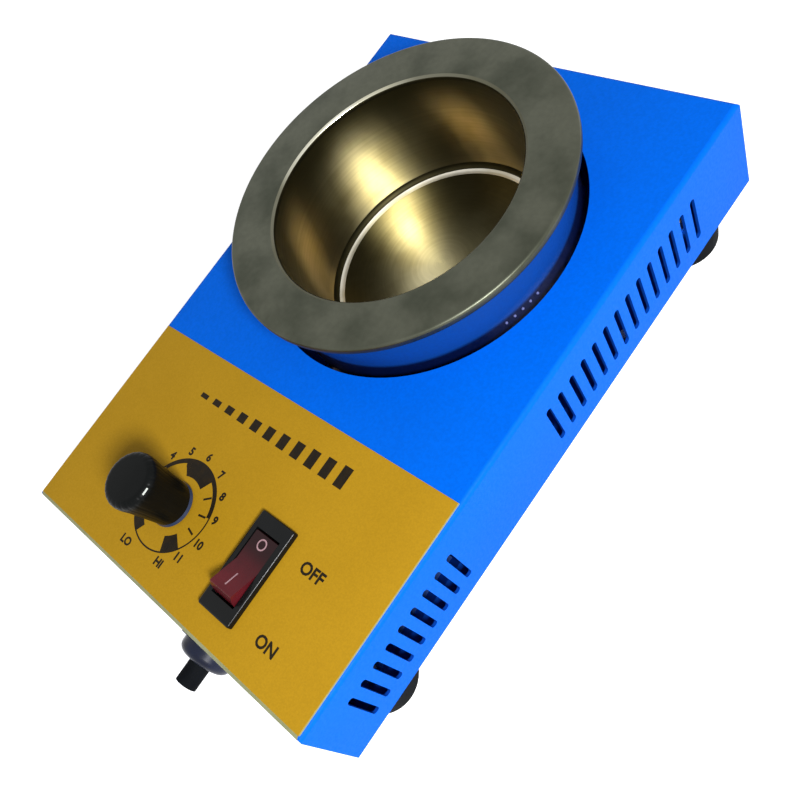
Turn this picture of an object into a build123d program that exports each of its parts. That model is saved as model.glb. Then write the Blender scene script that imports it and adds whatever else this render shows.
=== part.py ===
from build123d import *
import os
from math import cos, radians, sin, sqrt, tan
from typing import NamedTuple

os.makedirs("parts", exist_ok=True)

# Desktop solder pot: a heated cup in a round shell that rises through a low sheet-metal case.
# Millimetres, +X to the right, +Y to the back, +Z up. The feet stand on z = 0, and the origin
# is under the middle of the whole object, cable gland included.

# Case: a folded cover over a flat base plate
case_width = 135.0
case_length = 203.0
cover_height = 32.0
sheet = 1.0
bend_radius = 1.4
corner_seam = 0.3
lip_width = 7.5
lip_gap = 1.0
base_thickness = 1.0
base_inset = 1.0
lip_screw_inset = 4.25
lip_screw_spacing = 80.0
lip_screw_overhang = 2.0

# Cooling slots in both side walls, a short row by the controls and a long row by the cup
slot_length = 16.5
slot_width = 2.2
slot_pitch = 5.5
slot_rise = 14.75
front_slot_count = 9
front_slot_start = 13.9
rear_slot_count = 14
rear_slot_start = 104.75

# Rubber feet
foot_height = 8.0
foot_bottom_radius = 11.0
foot_taper = 5.0
foot_rounding = 1.0
foot_pocket_radius = 5.0
foot_pocket_depth = 4.5
foot_side_inset = 12.0
foot_end_inset = 20.5

# Crucible: a cup with a flat rim
pot_back_distance = 66.5
rim_rise = 20.4
rim_radius = 54.8
rim_thickness = 3.0
rim_rounding = 1.0
mouth_radius = 39.5
mouth_rounding = 1.2
crucible_wall = 2.0
crucible_floor = 3.0
crucible_draft = 0.9
crucible_floor_rounding = 3.6
crucible_base_rounding = 2.0

# Heater shell: the round jacket that carries the rim
shell_radius = 49.3
shell_wall = 0.8
shell_bend_radius = 1.5
shell_hole_gap = 3.0
spacer_height = 5.0
spacer_radius = 4.0
spacer_circle_radius = 30.0
spacer_count = 3

# Band heater, clamped round the cup, and its insulation
band_thickness = 2.0
band_height = 26.0
band_rise = 6.0
band_gap = 4.0
ear_thickness = 1.0
ear_reach = 4.6
ear_height = 12.0
disc_thickness = 4.1
insulation_height = 32.0
insulation_gap_angle = 32.0
disc_pocket_radius = 4.5
lead_hole_radius = 5.0
lead_hole_rise = 12.0
bush_wall = 1.2
bush_flange = 1.5
bush_flange_thickness = 1.0

# Control panel layout, from the middle of the case and from its front edge
panel_depth = 70.2
panel_margin = 1.2
label_thickness = 0.25
knob_x = -13.5
knob_front_distance = 25.0
switch_x = 24.1
switch_front_distance = 24.5

# Knob
knob_height = 20.5
knob_gap = 0.8
knob_base_radius = 7.3
knob_base_height = 1.6
knob_waist_radius = 6.5
knob_waist_height = 8.5
knob_top_radius = 8.0
knob_grip_height = 16.5
knob_top_rounding = 1.6
knob_top_dish_radius = 4.6
knob_top_dish_depth = 0.5
knob_recess_radius = 6.1
knob_recess_depth = 3.6
flute_count = 24
flute_radius = 0.6
flute_depth = 0.3
pointer_length = 3.2
pointer_width = 1.2
pointer_depth = 0.35

# Potentiometer
shaft_radius = 3.0
shaft_reach = 16.0
shaft_flat_depth = 1.2
shaft_flat_length = 9.0
shaft_stub_radius = 2.0
bushing_radius = 3.5
bushing_reach = 4.0
bushing_flange_radius = 8.0
bushing_flange_thickness = 1.8
tab_length = 2.4
tab_width = 1.2
tab_height = 0.8
tab_distance = 6.2
track_radius = 7.3
track_thickness = 1.2
track_tongue_width = 11.0
track_tongue_reach = 12.0
can_wall = 0.4
can_depth = 6.8
rotor_radius = 6.4
rotor_thickness = 1.8
rotor_drop = 0.8
wiper_width = 1.6
wiper_thickness = 0.25
lug_width = 1.6
lug_thickness = 0.4
lug_pitch = 3.8
lug_drop = 6.0
lug_overlap = 3.0
shaft_washer_radius = 5.5
shaft_washer_thickness = 0.5
shaft_nut_flats = 10.0
shaft_nut_height = 2.0

# Rocker switch
bezel_length = 31.0
bezel_width = 14.0
bezel_height = 2.0
bezel_rounding = 0.7
switch_body_length = 27.4
switch_body_width = 12.2
switch_body_depth = 17.0
switch_floor = 2.0
latch_reach = 0.9
latch_height = 4.0
latch_width = 5.0
rocker_radius = 10.4
rocker_width = 9.4
rocker_side_gap = 0.25
rocker_end_gap = 0.3
rocker_facet_angle = 12.0
rocker_tilt_angle = 12.0
rocker_valley = 2.75
rocker_skirt_angle = 25.0
rocker_skin = 1.3
rocker_rounding = 0.4
rocker_hub_half = 3.0
rocker_hub_depth = 7.5
pivot_drop = 3.0
pivot_radius = 1.2
blade_width = 6.3
blade_thickness = 0.8
blade_pitch = 8.0
blade_reach = 8.0
contact_length = 17.0
contact_width = 5.0
contact_thickness = 0.6
contact_gap = 0.15
idle_blade_drop = 1.5
lamp_radius = 1.5
lamp_offset = 5.9

# Cable gland in the front wall
gland_x = 13.0
gland_rise = 11.0
gland_thread_radius = 6.0
gland_flats = 19.0
gland_collar_thickness = 3.0
gland_cap_radius = 8.5
gland_cap_length = 5.0
gland_cap_rounding = 2.5
gland_bore_radius = 4.5
sleeve_radius = 3.5
sleeve_bore_radius = 2.4
sleeve_reach = 16.0
gland_thread_length = 9.0
gland_nut_flats = 17.0
gland_nut_thickness = 4.0

# Control board
board_side_gap = 7.5
board_front_distance = 62.0
board_length = 52.0
board_width = 36.0
board_thickness = 1.6
board_corner_inset = 3.5
standoff_height = 6.0
standoff_flats = 5.5

# Parts on the control board, each placed from the middle of the board
sink_x = -6.0
sink_y = 6.0
sink_width = 24.0
sink_height = 20.0
sink_plate = 3.0
sink_fin_length = 8.0
sink_fin_thickness = 1.4
sink_fin_count = 5
triac_width = 10.0
triac_body_height = 9.0
triac_body_depth = 4.4
triac_tab_height = 6.0
triac_tab_thickness = 1.3
triac_lift = 4.0
triac_leg_width = 0.8
triac_leg_pitch = 2.54
triac_hole_radius = 1.8
capacitor_x = 16.0
capacitor_y = 4.0
capacitor_length = 18.0
capacitor_width = 8.5
capacitor_height = 14.5
capacitor_rounding = 0.8
resistor_length = 9.0
resistor_radius = 1.7
resistor_lift = 0.6
resistor_wire_radius = 0.35
resistor_wire_span = 12.7
resistor_places = ((-13.0, -8.5), (-13.0, -13.5))
diac_place = (-13.0, -3.5)
diac_length = 4.0
diac_radius = 1.0
diac_wire_span = 7.6
board_block_x = 8.0
board_block_y = -12.0
board_block_height = 10.0
board_block_width = 8.5
board_block_pitch = 5.0
board_block_ways = 4

# Mains terminal block and earth stud
mains_block_side_gap = 11.0
mains_block_front_distance = 46.0
mains_block_width = 17.0
mains_block_height = 13.0
mains_block_pitch = 9.0
mains_block_ways = 3
block_screw_radius = 1.9
block_screw_depth = 4.0
earth_side_inset = 19.5
earth_front_distance = 74.0
earth_tag_radius = 4.2
earth_tag_thickness = 0.8
earth_tag_length = 14.0
earth_tag_barrel_radius = 1.6

# Internal leads: sleeved wires between the mains block, switch, board, potentiometer and heater
power_lead_radius = 0.8
heater_lead_radius = 0.8
signal_lead_radius = 0.6
lead_reach = 4.0
lead_arc_share = 0.45

# Fits and helpers
hole_clearance = 0.2
sleeve_clearance = 0.15
running_clearance = 0.05
panel_clearance = 0.3
seat_gap = 0.3
overrun = 1.0


class ScrewSize(NamedTuple):
    """A pan-head screw and the hexagon nut that fits it."""

    shank_radius: float
    head_radius: float
    head_height: float
    head_rounding: float
    recess_width: float
    recess_depth: float
    nut_flats: float
    nut_height: float


m25 = ScrewSize(
    shank_radius=1.25,
    head_radius=2.1,
    head_height=1.6,
    head_rounding=0.5,
    recess_width=0.6,
    recess_depth=0.8,
    nut_flats=4.4,
    nut_height=2.0,
)
m3 = ScrewSize(
    shank_radius=1.5,
    head_radius=2.7,
    head_height=2.0,
    head_rounding=0.7,
    recess_width=0.8,
    recess_depth=1.0,
    nut_flats=5.5,
    nut_height=2.4,
)
m4 = ScrewSize(
    shank_radius=2.0,
    head_radius=3.9,
    head_height=2.6,
    head_rounding=0.9,
    recess_width=1.0,
    recess_depth=1.3,
    nut_flats=7.0,
    nut_height=3.2,
)

# Plan positions
half_width = case_width / 2
case_y = sleeve_reach / 2
front_y = case_y - case_length / 2
back_y = case_y + case_length / 2
pot_x = 0.0
pot_y = back_y - pot_back_distance
knob_y = front_y + knob_front_distance
switch_y = front_y + switch_front_distance
board_x = board_side_gap + board_length / 2 - half_width
board_y = front_y + board_front_distance
mains_block_x = half_width - mains_block_side_gap - mains_block_width / 2
mains_block_y = front_y + mains_block_front_distance
earth_x = half_width - earth_side_inset
earth_y = front_y + earth_front_distance

# Heights
base_z = foot_height
base_top_z = base_z + base_thickness
cover_top_z = base_top_z + cover_height
panel_under_z = cover_top_z - sheet
label_top_z = cover_top_z + label_thickness
rim_z = cover_top_z + rim_rise
rim_under_z = rim_z - rim_thickness
shell_bottom_z = base_top_z + spacer_height
shell_floor_z = shell_bottom_z + shell_wall
disc_top_z = shell_floor_z + disc_thickness
crucible_bottom_z = disc_top_z + seat_gap
crucible_floor_z = crucible_bottom_z + crucible_floor
board_bottom_z = base_top_z + standoff_height
board_top_z = board_bottom_z + board_thickness
gland_z = base_top_z + gland_rise

# Repeated places
foot_points = [
    (side * (half_width - foot_side_inset), end_y)
    for side in (-1, 1)
    for end_y in (front_y + foot_end_inset, back_y - foot_end_inset)
]
lip_screw_points = [
    (side * (half_width - lip_screw_inset), case_y + end * lip_screw_spacing / 2)
    for side in (-1, 1)
    for end in (-1, 1)
]
spacer_points = [
    (
        pot_x + spacer_circle_radius * cos(radians(90 + 360 * index / spacer_count)),
        pot_y + spacer_circle_radius * sin(radians(90 + 360 * index / spacer_count)),
    )
    for index in range(spacer_count)
]
board_hole_points = [
    (
        board_x + side * (board_length / 2 - board_corner_inset),
        board_y + end * (board_width / 2 - board_corner_inset),
    )
    for side in (-1, 1)
    for end in (-1, 1)
]
mains_screw_points = [
    (mains_block_x, mains_block_y + end * mains_block_pitch / 2) for end in (-1, 1)
]
earth_point = (earth_x, earth_y)


def level(height):
    """Horizontal plane at a height, facing up."""
    return Plane.XY.offset(height)


def upright(x, y):
    """Upright plane through a plan position, facing the front, for profiles turned about it."""
    return Plane(origin=(x, y, 0), x_dir=(1, 0, 0), z_dir=(0, -1, 0))


def upright_axis(x, y):
    """Vertical axis through a plan position."""
    return Axis((x, y, 0), (0, 0, 1))


def facing_front(x, y, z):
    """Upright plane at a point, facing the front."""
    return Plane(origin=(x, y, z), x_dir=(1, 0, 0), z_dir=(0, -1, 0))


def facing_down(height):
    """Horizontal plane at a height, facing down."""
    return Plane(origin=(0, 0, height), x_dir=(1, 0, 0), z_dir=(0, 0, -1))


def seen_from_below(points):
    """Plan positions as a plane that faces down measures them."""
    return [(x, -y) for x, y in points]


def nearest_corner(sketch, x, y):
    """The corner of a sketch that lies nearest to a point."""
    return sketch.vertices().sort_by_distance((x, y, 0))[0]


def pan_screws(seat, points, screw, length):
    """Pan-head screws whose heads bear on a seat plane, with shanks along its normal."""
    with BuildPart() as screws:
        with BuildSketch(seat):
            with Locations(*points):
                Circle(screw.head_radius)
        extrude(amount=-screw.head_height)
        head_faces = screws.faces().group_by(Axis(seat.origin, seat.z_dir))[0]
        fillet(head_faces.edges(), screw.head_rounding)
        with BuildSketch(seat.offset(-screw.head_height)):
            with Locations(*points):
                Rectangle(screw.head_radius, screw.recess_width)
                Rectangle(screw.recess_width, screw.head_radius)
        extrude(amount=screw.recess_depth, mode=Mode.SUBTRACT)
        with BuildSketch(seat):
            with Locations(*points):
                Circle(screw.shank_radius)
        extrude(amount=length)
    return screws


def hex_nuts(seat, points, screw):
    """Hexagon nuts that bear on a seat plane and rise along its normal."""
    with BuildPart() as nuts:
        with BuildSketch(seat):
            with Locations(*points):
                RegularPolygon(screw.nut_flats / 2, 6, major_radius=False)
                Circle(screw.shank_radius + sleeve_clearance, mode=Mode.SUBTRACT)
        extrude(amount=screw.nut_height)
    return nuts


# Cover: top and four walls folded from one sheet, with return lips for the base screws
side_slot_places = [
    (front_y + start + index * slot_pitch, base_top_z + slot_rise)
    for start, count in ((front_slot_start, front_slot_count), (rear_slot_start, rear_slot_count))
    for index in range(count)
]
with BuildPart() as cover:
    with BuildSketch(level(base_top_z)):
        with Locations((0, case_y)):
            Rectangle(case_width, case_length)
    extrude(amount=cover_height)
    fillet(cover.faces().sort_by(Axis.Z)[-1].edges(), bend_radius)
    offset(amount=-sheet, openings=cover.faces().sort_by(Axis.Z)[0])
    with BuildSketch(level(base_top_z)):
        with Locations((0, case_y)):
            Rectangle(case_width, case_length - 2 * lip_width - 2 * lip_gap)
            Rectangle(case_width - 2 * lip_width, case_length)
            Rectangle(case_width - 2 * lip_width, case_length - 2 * lip_width, mode=Mode.SUBTRACT)
    extrude(amount=sheet)
    with BuildSketch(level(panel_under_z)):
        with Locations((pot_x, pot_y)):
            Circle(shell_radius + shell_hole_gap)
        with Locations((knob_x, knob_y)):
            Circle(bushing_radius + hole_clearance)
        with Locations((knob_x - tab_distance, knob_y)):
            Rectangle(tab_width + 2 * hole_clearance, tab_length + 2 * hole_clearance)
        with Locations((switch_x, switch_y)):
            Rectangle(
                switch_body_width + 2 * panel_clearance,
                switch_body_length + 2 * panel_clearance,
            )
    extrude(amount=sheet, mode=Mode.SUBTRACT)
    with BuildSketch(facing_front(gland_x, front_y + sheet, gland_z)):
        Circle(gland_thread_radius + hole_clearance)
    extrude(amount=sheet, mode=Mode.SUBTRACT)
    with BuildSketch(level(base_top_z)):
        with Locations(*lip_screw_points):
            Circle(m3.shank_radius + sleeve_clearance)
    extrude(amount=sheet, mode=Mode.SUBTRACT)
    with BuildSketch(Plane.YZ):
        with Locations(*side_slot_places):
            SlotOverall(slot_length, slot_width, rotation=90)
    extrude(amount=half_width + overrun, both=True, mode=Mode.SUBTRACT)
    with BuildSketch(level(base_top_z)):
        with Locations((0, case_y)):
            with GridLocations(
                case_width - 2 * sheet - corner_seam, case_length - sheet, 2, 2
            ):
                Rectangle(corner_seam, sheet)
    extrude(amount=cover_height - bend_radius - sheet, mode=Mode.SUBTRACT)
cover.part.label = "cover"
export_step(cover.part, "parts/cover.step")

# Base plate: a flat sheet screwed up to the lips, drilled for all that stands on it
with BuildPart() as base_plate:
    with BuildSketch(level(base_z)):
        with Locations((0, case_y)):
            RectangleRounded(
                case_width - 2 * base_inset, case_length - 2 * base_inset, lip_screw_inset
            )
        with Locations(*lip_screw_points, *spacer_points, *board_hole_points):
            Circle(m3.shank_radius + hole_clearance, mode=Mode.SUBTRACT)
        with Locations(*mains_screw_points):
            Circle(m25.shank_radius + hole_clearance, mode=Mode.SUBTRACT)
        with Locations(*foot_points, earth_point):
            Circle(m4.shank_radius + hole_clearance, mode=Mode.SUBTRACT)
    extrude(amount=base_thickness)
base_plate.part.label = "base_plate"
export_step(base_plate.part, "parts/base_plate.step")

base_screws = pan_screws(
    level(base_z), lip_screw_points, m3, base_thickness + sheet + lip_screw_overhang
)
base_screws.part.label = "base_screws"
export_step(base_screws.part, "parts/base_screws.step")

# Feet: tapered rubber pads with a pocket for the screw head
with BuildPart() as feet:
    with BuildSketch(level(0)):
        with Locations(*foot_points):
            Circle(foot_bottom_radius)
    extrude(amount=foot_height, taper=-foot_taper)
    fillet(feet.faces().group_by(Axis.Z)[0].edges(), foot_rounding)
    with BuildSketch(level(0)):
        with Locations(*foot_points):
            Circle(foot_pocket_radius)
    extrude(amount=foot_pocket_depth, mode=Mode.SUBTRACT)
    with BuildSketch(level(foot_pocket_depth)):
        with Locations(*foot_points):
            Circle(m4.shank_radius + hole_clearance)
    extrude(amount=foot_height - foot_pocket_depth, mode=Mode.SUBTRACT)
feet.part.label = "feet"
export_step(feet.part, "parts/feet.step")

foot_grip = foot_height - foot_pocket_depth + base_thickness
foot_screws = pan_screws(
    level(foot_pocket_depth), foot_points, m4, foot_grip + m4.nut_height + m4.head_rounding
)
foot_screws.part.label = "foot_screws"
export_step(foot_screws.part, "parts/foot_screws.step")

foot_nuts = hex_nuts(level(base_top_z), foot_points, m4)
foot_nuts.part.label = "foot_nuts"
export_step(foot_nuts.part, "parts/foot_nuts.step")

# Heater shell: a drawn can that stands on three spacers and carries the rim of the cup
with BuildPart() as heater_shell:
    with BuildSketch(upright(pot_x, pot_y)) as shell_profile:
        with BuildLine():
            Polyline(
                (0, shell_bottom_z),
                (shell_radius, shell_bottom_z),
                (shell_radius, rim_under_z),
                (shell_radius - shell_wall, rim_under_z),
                (shell_radius - shell_wall, shell_floor_z),
                (0, shell_floor_z),
                close=True,
            )
        make_face()
        fillet(
            nearest_corner(shell_profile, shell_radius, shell_bottom_z),
            shell_bend_radius + shell_wall,
        )
        fillet(
            nearest_corner(shell_profile, shell_radius - shell_wall, shell_floor_z),
            shell_bend_radius,
        )
    revolve(axis=upright_axis(pot_x, pot_y))
    with BuildSketch(level(shell_bottom_z)):
        with Locations(*spacer_points):
            Circle(m3.shank_radius + hole_clearance)
    extrude(amount=shell_wall, mode=Mode.SUBTRACT)
    with BuildSketch(facing_front(pot_x, pot_y, shell_floor_z + lead_hole_rise)):
        Circle(lead_hole_radius)
    extrude(amount=shell_radius, mode=Mode.SUBTRACT)
heater_shell.part.label = "heater_shell"
export_step(heater_shell.part, "parts/heater_shell.step")

with BuildPart() as shell_spacers:
    with BuildSketch(level(base_top_z)):
        with Locations(*spacer_points):
            Circle(spacer_radius)
            Circle(m3.shank_radius + hole_clearance, mode=Mode.SUBTRACT)
    extrude(amount=spacer_height)
shell_spacers.part.label = "shell_spacers"
export_step(shell_spacers.part, "parts/shell_spacers.step")

shell_grip = shell_floor_z - base_z
shell_screws = pan_screws(
    facing_down(shell_floor_z),
    seen_from_below(spacer_points),
    m3,
    shell_grip + m3.nut_height + m3.head_rounding,
)
shell_screws.part.label = "shell_screws"
export_step(shell_screws.part, "parts/shell_screws.step")

shell_nuts = hex_nuts(facing_down(base_z), seen_from_below(spacer_points), m3)
shell_nuts.part.label = "shell_nuts"
export_step(shell_nuts.part, "parts/shell_nuts.step")

# Crucible: turned cup with a flat rim, a drafted bore and a rounded floor corner
crucible_radius = mouth_radius + crucible_wall
with BuildPart() as crucible:
    with BuildSketch(upright(pot_x, pot_y)) as crucible_profile:
        with BuildLine():
            Polyline(
                (0, crucible_bottom_z),
                (crucible_radius, crucible_bottom_z),
                (crucible_radius, rim_under_z),
                (rim_radius, rim_under_z),
                (rim_radius, rim_z),
                (mouth_radius, rim_z),
                (mouth_radius - crucible_draft, crucible_floor_z),
                (0, crucible_floor_z),
                close=True,
            )
        make_face()
        fillet(nearest_corner(crucible_profile, mouth_radius, rim_z), mouth_rounding)
        fillet(
            nearest_corner(crucible_profile, mouth_radius - crucible_draft, crucible_floor_z),
            crucible_floor_rounding,
        )
        fillet(
            nearest_corner(crucible_profile, crucible_radius, crucible_bottom_z),
            crucible_base_rounding,
        )
        fillet(nearest_corner(crucible_profile, rim_radius, rim_z), rim_rounding)
        fillet(nearest_corner(crucible_profile, rim_radius, rim_under_z), rim_rounding)
    revolve(axis=upright_axis(pot_x, pot_y))
crucible.part.label = "crucible"
export_step(crucible.part, "parts/crucible.step")

# Band heater: a split steel band with two ears that a screw draws together
band_radius = crucible_radius + sleeve_clearance
band_outer_radius = band_radius + band_thickness
band_bottom_z = crucible_bottom_z + band_rise
ear_y = pot_y - band_outer_radius - ear_reach / 2
clamp_z = band_bottom_z + band_height / 2
with BuildPart() as band_heater:
    with BuildSketch(level(band_bottom_z)):
        with Locations((pot_x, pot_y)):
            Circle(band_outer_radius)
            Circle(band_radius, mode=Mode.SUBTRACT)
        with Locations((pot_x, pot_y - band_outer_radius)):
            Rectangle(band_gap, 4 * band_thickness, mode=Mode.SUBTRACT)
    extrude(amount=band_height)
    with BuildSketch(level(clamp_z - ear_height / 2)):
        with Locations((pot_x, ear_y + band_thickness / 2)):
            with GridLocations(band_gap + ear_thickness, 0, 2, 1):
                Rectangle(ear_thickness, ear_reach + band_thickness)
    extrude(amount=ear_height)
    with BuildSketch(Plane(origin=(pot_x, ear_y, clamp_z), x_dir=(0, 1, 0), z_dir=(1, 0, 0))):
        Circle(m25.shank_radius + sleeve_clearance)
    extrude(amount=band_gap, both=True, mode=Mode.SUBTRACT)
band_heater.part.label = "band_heater"
export_step(band_heater.part, "parts/band_heater.step")

clamp_half = band_gap / 2 + ear_thickness
clamp_screw = pan_screws(
    Plane(origin=(pot_x + clamp_half, ear_y, clamp_z), x_dir=(0, 1, 0), z_dir=(-1, 0, 0)),
    [(0, 0)],
    m25,
    2 * clamp_half + m25.nut_height + m25.head_rounding,
)
clamp_screw.part.label = "clamp_screw"
export_step(clamp_screw.part, "parts/clamp_screw.step")

clamp_nut = hex_nuts(
    Plane(origin=(pot_x - clamp_half, ear_y, clamp_z), x_dir=(0, 0, 1), z_dir=(-1, 0, 0)),
    [(0, 0)],
    m25,
)
clamp_nut.part.label = "clamp_nut"
export_step(clamp_nut.part, "parts/clamp_nut.step")

# Insulation: a disc under the cup, and an open ring of ceramic fibre round the band
shell_bore = shell_radius - shell_wall
with BuildPart() as insulation_disc:
    with BuildSketch(level(shell_floor_z)):
        with Locations((pot_x, pot_y)):
            Circle(shell_bore - shell_bend_radius)
        with Locations(*spacer_points):
            Circle(disc_pocket_radius, mode=Mode.SUBTRACT)
    extrude(amount=disc_thickness)
insulation_disc.part.label = "insulation_disc"
export_step(insulation_disc.part, "parts/insulation_disc.step")

with BuildPart() as insulation_ring:
    with BuildSketch(level(disc_top_z)):
        with BuildLine():
            ring_outer = CenterArc(
                (pot_x, pot_y),
                shell_bore - sleeve_clearance,
                insulation_gap_angle / 2 - 90,
                360 - insulation_gap_angle,
            )
            ring_inner = CenterArc(
                (pot_x, pot_y),
                band_outer_radius + sleeve_clearance,
                insulation_gap_angle / 2 - 90,
                360 - insulation_gap_angle,
            )
            Line(ring_outer @ 0, ring_inner @ 0)
            Line(ring_outer @ 1, ring_inner @ 1)
        make_face()
    extrude(amount=insulation_height)
insulation_ring.part.label = "insulation_ring"
export_step(insulation_ring.part, "parts/insulation_ring.step")

# Lead bush: a ceramic collar in the wall of the shell, where the heater leads come out
bush_z = shell_floor_z + lead_hole_rise
bush_radius = lead_hole_radius - sleeve_clearance
bush_inner_y = pot_y - shell_bore + seat_gap
bush_outer_y = pot_y - shell_radius - seat_gap
with BuildPart() as lead_bush:
    with BuildSketch(facing_front(pot_x, bush_inner_y, bush_z)):
        Circle(bush_radius)
    extrude(amount=bush_inner_y - bush_outer_y)
    with BuildSketch(facing_front(pot_x, bush_outer_y, bush_z)):
        Circle(bush_radius + bush_flange)
    extrude(amount=bush_flange_thickness)
    with BuildSketch(facing_front(pot_x, bush_inner_y, bush_z)):
        Circle(bush_radius - bush_wall)
    extrude(amount=bush_inner_y - bush_outer_y + bush_flange_thickness, mode=Mode.SUBTRACT)
lead_bush.part.label = "lead_bush"
export_step(lead_bush.part, "parts/lead_bush.step")

# Panel label: a thin printed sheet over the front of the top
with BuildPart() as panel_label:
    with BuildSketch(level(cover_top_z)):
        with Locations((0, front_y + panel_margin + (panel_depth - panel_margin) / 2)):
            Rectangle(case_width - 2 * panel_margin, panel_depth - panel_margin)
        with Locations((knob_x, knob_y)):
            Circle(bushing_radius + hole_clearance, mode=Mode.SUBTRACT)
        with Locations((switch_x, switch_y)):
            Rectangle(
                switch_body_width + 2 * panel_clearance,
                switch_body_length + 2 * panel_clearance,
                mode=Mode.SUBTRACT,
            )
    extrude(amount=label_thickness)
panel_label.part.label = "panel_label"
export_step(panel_label.part, "parts/panel_label.step")

# Potentiometer: threaded bushing and flange, resistance track, can, rotor, wiper and shaft
flange_under_z = panel_under_z - bushing_flange_thickness
bushing_top_z = label_top_z + bushing_reach
track_under_z = flange_under_z - track_thickness
rotor_top_z = track_under_z - rotor_drop
rotor_under_z = rotor_top_z - rotor_thickness
with BuildPart() as potentiometer_bushing:
    with BuildSketch(level(flange_under_z)):
        with Locations((knob_x, knob_y)):
            Circle(bushing_flange_radius)
    extrude(amount=bushing_flange_thickness)
    with BuildSketch(level(flange_under_z)):
        with Locations((knob_x, knob_y)):
            Circle(bushing_radius)
    extrude(amount=bushing_top_z - flange_under_z)
    with BuildSketch(level(panel_under_z)):
        with Locations((knob_x - tab_distance, knob_y)):
            Rectangle(tab_width, tab_length)
    extrude(amount=tab_height)
    with BuildSketch(level(flange_under_z)):
        with Locations((knob_x, knob_y)):
            Circle(shaft_radius + running_clearance)
    extrude(amount=bushing_top_z - flange_under_z, mode=Mode.SUBTRACT)
potentiometer_bushing.part.label = "potentiometer_bushing"
export_step(potentiometer_bushing.part, "parts/potentiometer_bushing.step")

with BuildPart() as potentiometer_track:
    with BuildSketch(level(track_under_z)):
        with Locations((knob_x, knob_y)):
            Circle(track_radius)
        with Locations((knob_x, knob_y - track_tongue_reach / 2)):
            Rectangle(track_tongue_width, track_tongue_reach)
        with Locations((knob_x, knob_y)):
            Circle(shaft_radius + hole_clearance, mode=Mode.SUBTRACT)
    extrude(amount=track_thickness)
potentiometer_track.part.label = "potentiometer_track"
export_step(potentiometer_track.part, "parts/potentiometer_track.step")

can_radius = track_radius + sleeve_clearance + can_wall
can_bottom_z = flange_under_z - can_depth
with BuildPart() as potentiometer_can:
    with BuildSketch(level(can_bottom_z)):
        with Locations((knob_x, knob_y)):
            Circle(can_radius)
    extrude(amount=can_depth)
    with BuildSketch(level(can_bottom_z + can_wall)):
        with Locations((knob_x, knob_y)):
            Circle(can_radius - can_wall)
    extrude(amount=can_depth - can_wall, mode=Mode.SUBTRACT)
    with BuildSketch(level(track_under_z - sleeve_clearance)):
        with Locations((knob_x, knob_y - can_radius)):
            Rectangle(track_tongue_width + 2 * sleeve_clearance, can_radius)
    extrude(amount=track_thickness + sleeve_clearance, mode=Mode.SUBTRACT)
potentiometer_can.part.label = "potentiometer_can"
export_step(potentiometer_can.part, "parts/potentiometer_can.step")

# Solder lugs: bent strips on the underside of the tongue
lug_root_y = knob_y - track_tongue_reach + lug_overlap
lug_tip_y = knob_y - track_tongue_reach - lug_overlap
with BuildPart() as potentiometer_lugs:
    for step in (-1, 0, 1):
        with BuildSketch(Plane.YZ.offset(knob_x + step * lug_pitch)) as lug_profile:
            with BuildLine():
                Polyline(
                    (lug_root_y, track_under_z),
                    (lug_tip_y, track_under_z),
                    (lug_tip_y, track_under_z - lug_drop),
                    (lug_tip_y + lug_thickness, track_under_z - lug_drop),
                    (lug_tip_y + lug_thickness, track_under_z - lug_thickness),
                    (lug_root_y, track_under_z - lug_thickness),
                    close=True,
                )
            make_face()
            fillet(nearest_corner(lug_profile, lug_tip_y, track_under_z), lug_thickness)
        extrude(amount=lug_width / 2, both=True)
potentiometer_lugs.part.label = "potentiometer_lugs"
export_step(potentiometer_lugs.part, "parts/potentiometer_lugs.step")

# Rotor: a disc on the lower end of the shaft, with a sprung wiper that runs on the track
with BuildPart() as potentiometer_rotor:
    with BuildSketch(level(rotor_under_z)):
        with Locations((knob_x, knob_y)):
            Circle(rotor_radius)
            Circle(shaft_stub_radius + sleeve_clearance, mode=Mode.SUBTRACT)
    extrude(amount=rotor_thickness)
potentiometer_rotor.part.label = "potentiometer_rotor"
export_step(potentiometer_rotor.part, "parts/potentiometer_rotor.step")

wiper_rise = rotor_drop - running_clearance
with BuildPart() as potentiometer_wiper:
    with BuildSketch(facing_front(knob_x, knob_y + wiper_width / 2, rotor_top_z)):
        with BuildLine():
            Polyline(
                (shaft_radius + seat_gap, 0),
                (rotor_radius - wiper_thickness, 0),
                (rotor_radius - wiper_thickness, wiper_rise),
                (rotor_radius - wiper_rise - wiper_thickness, wiper_rise),
                (rotor_radius - wiper_rise - wiper_thickness, wiper_rise - wiper_thickness),
                (rotor_radius - 2 * wiper_thickness, wiper_rise - wiper_thickness),
                (rotor_radius - 2 * wiper_thickness, wiper_thickness),
                (shaft_radius + seat_gap, wiper_thickness),
                close=True,
            )
        make_face()
    extrude(amount=wiper_width)
potentiometer_wiper.part.label = "potentiometer_wiper"
export_step(potentiometer_wiper.part, "parts/potentiometer_wiper.step")

knob_bottom_z = label_top_z + knob_gap
shaft_top_z = cover_top_z + shaft_reach
with BuildPart() as potentiometer_shaft:
    with BuildSketch(level(rotor_under_z)):
        with Locations((knob_x, knob_y)):
            Circle(shaft_stub_radius)
    extrude(amount=rotor_thickness)
    with BuildSketch(level(rotor_top_z)):
        with Locations((knob_x, knob_y)):
            Circle(shaft_radius)
    extrude(amount=shaft_top_z - rotor_top_z)
    with BuildSketch(level(shaft_top_z - shaft_flat_length)):
        with Locations((knob_x - shaft_radius, knob_y)):
            Rectangle(2 * shaft_flat_depth, 2 * shaft_radius)
    extrude(amount=shaft_flat_length, mode=Mode.SUBTRACT)
potentiometer_shaft.part.label = "potentiometer_shaft"
export_step(potentiometer_shaft.part, "parts/potentiometer_shaft.step")

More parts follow.
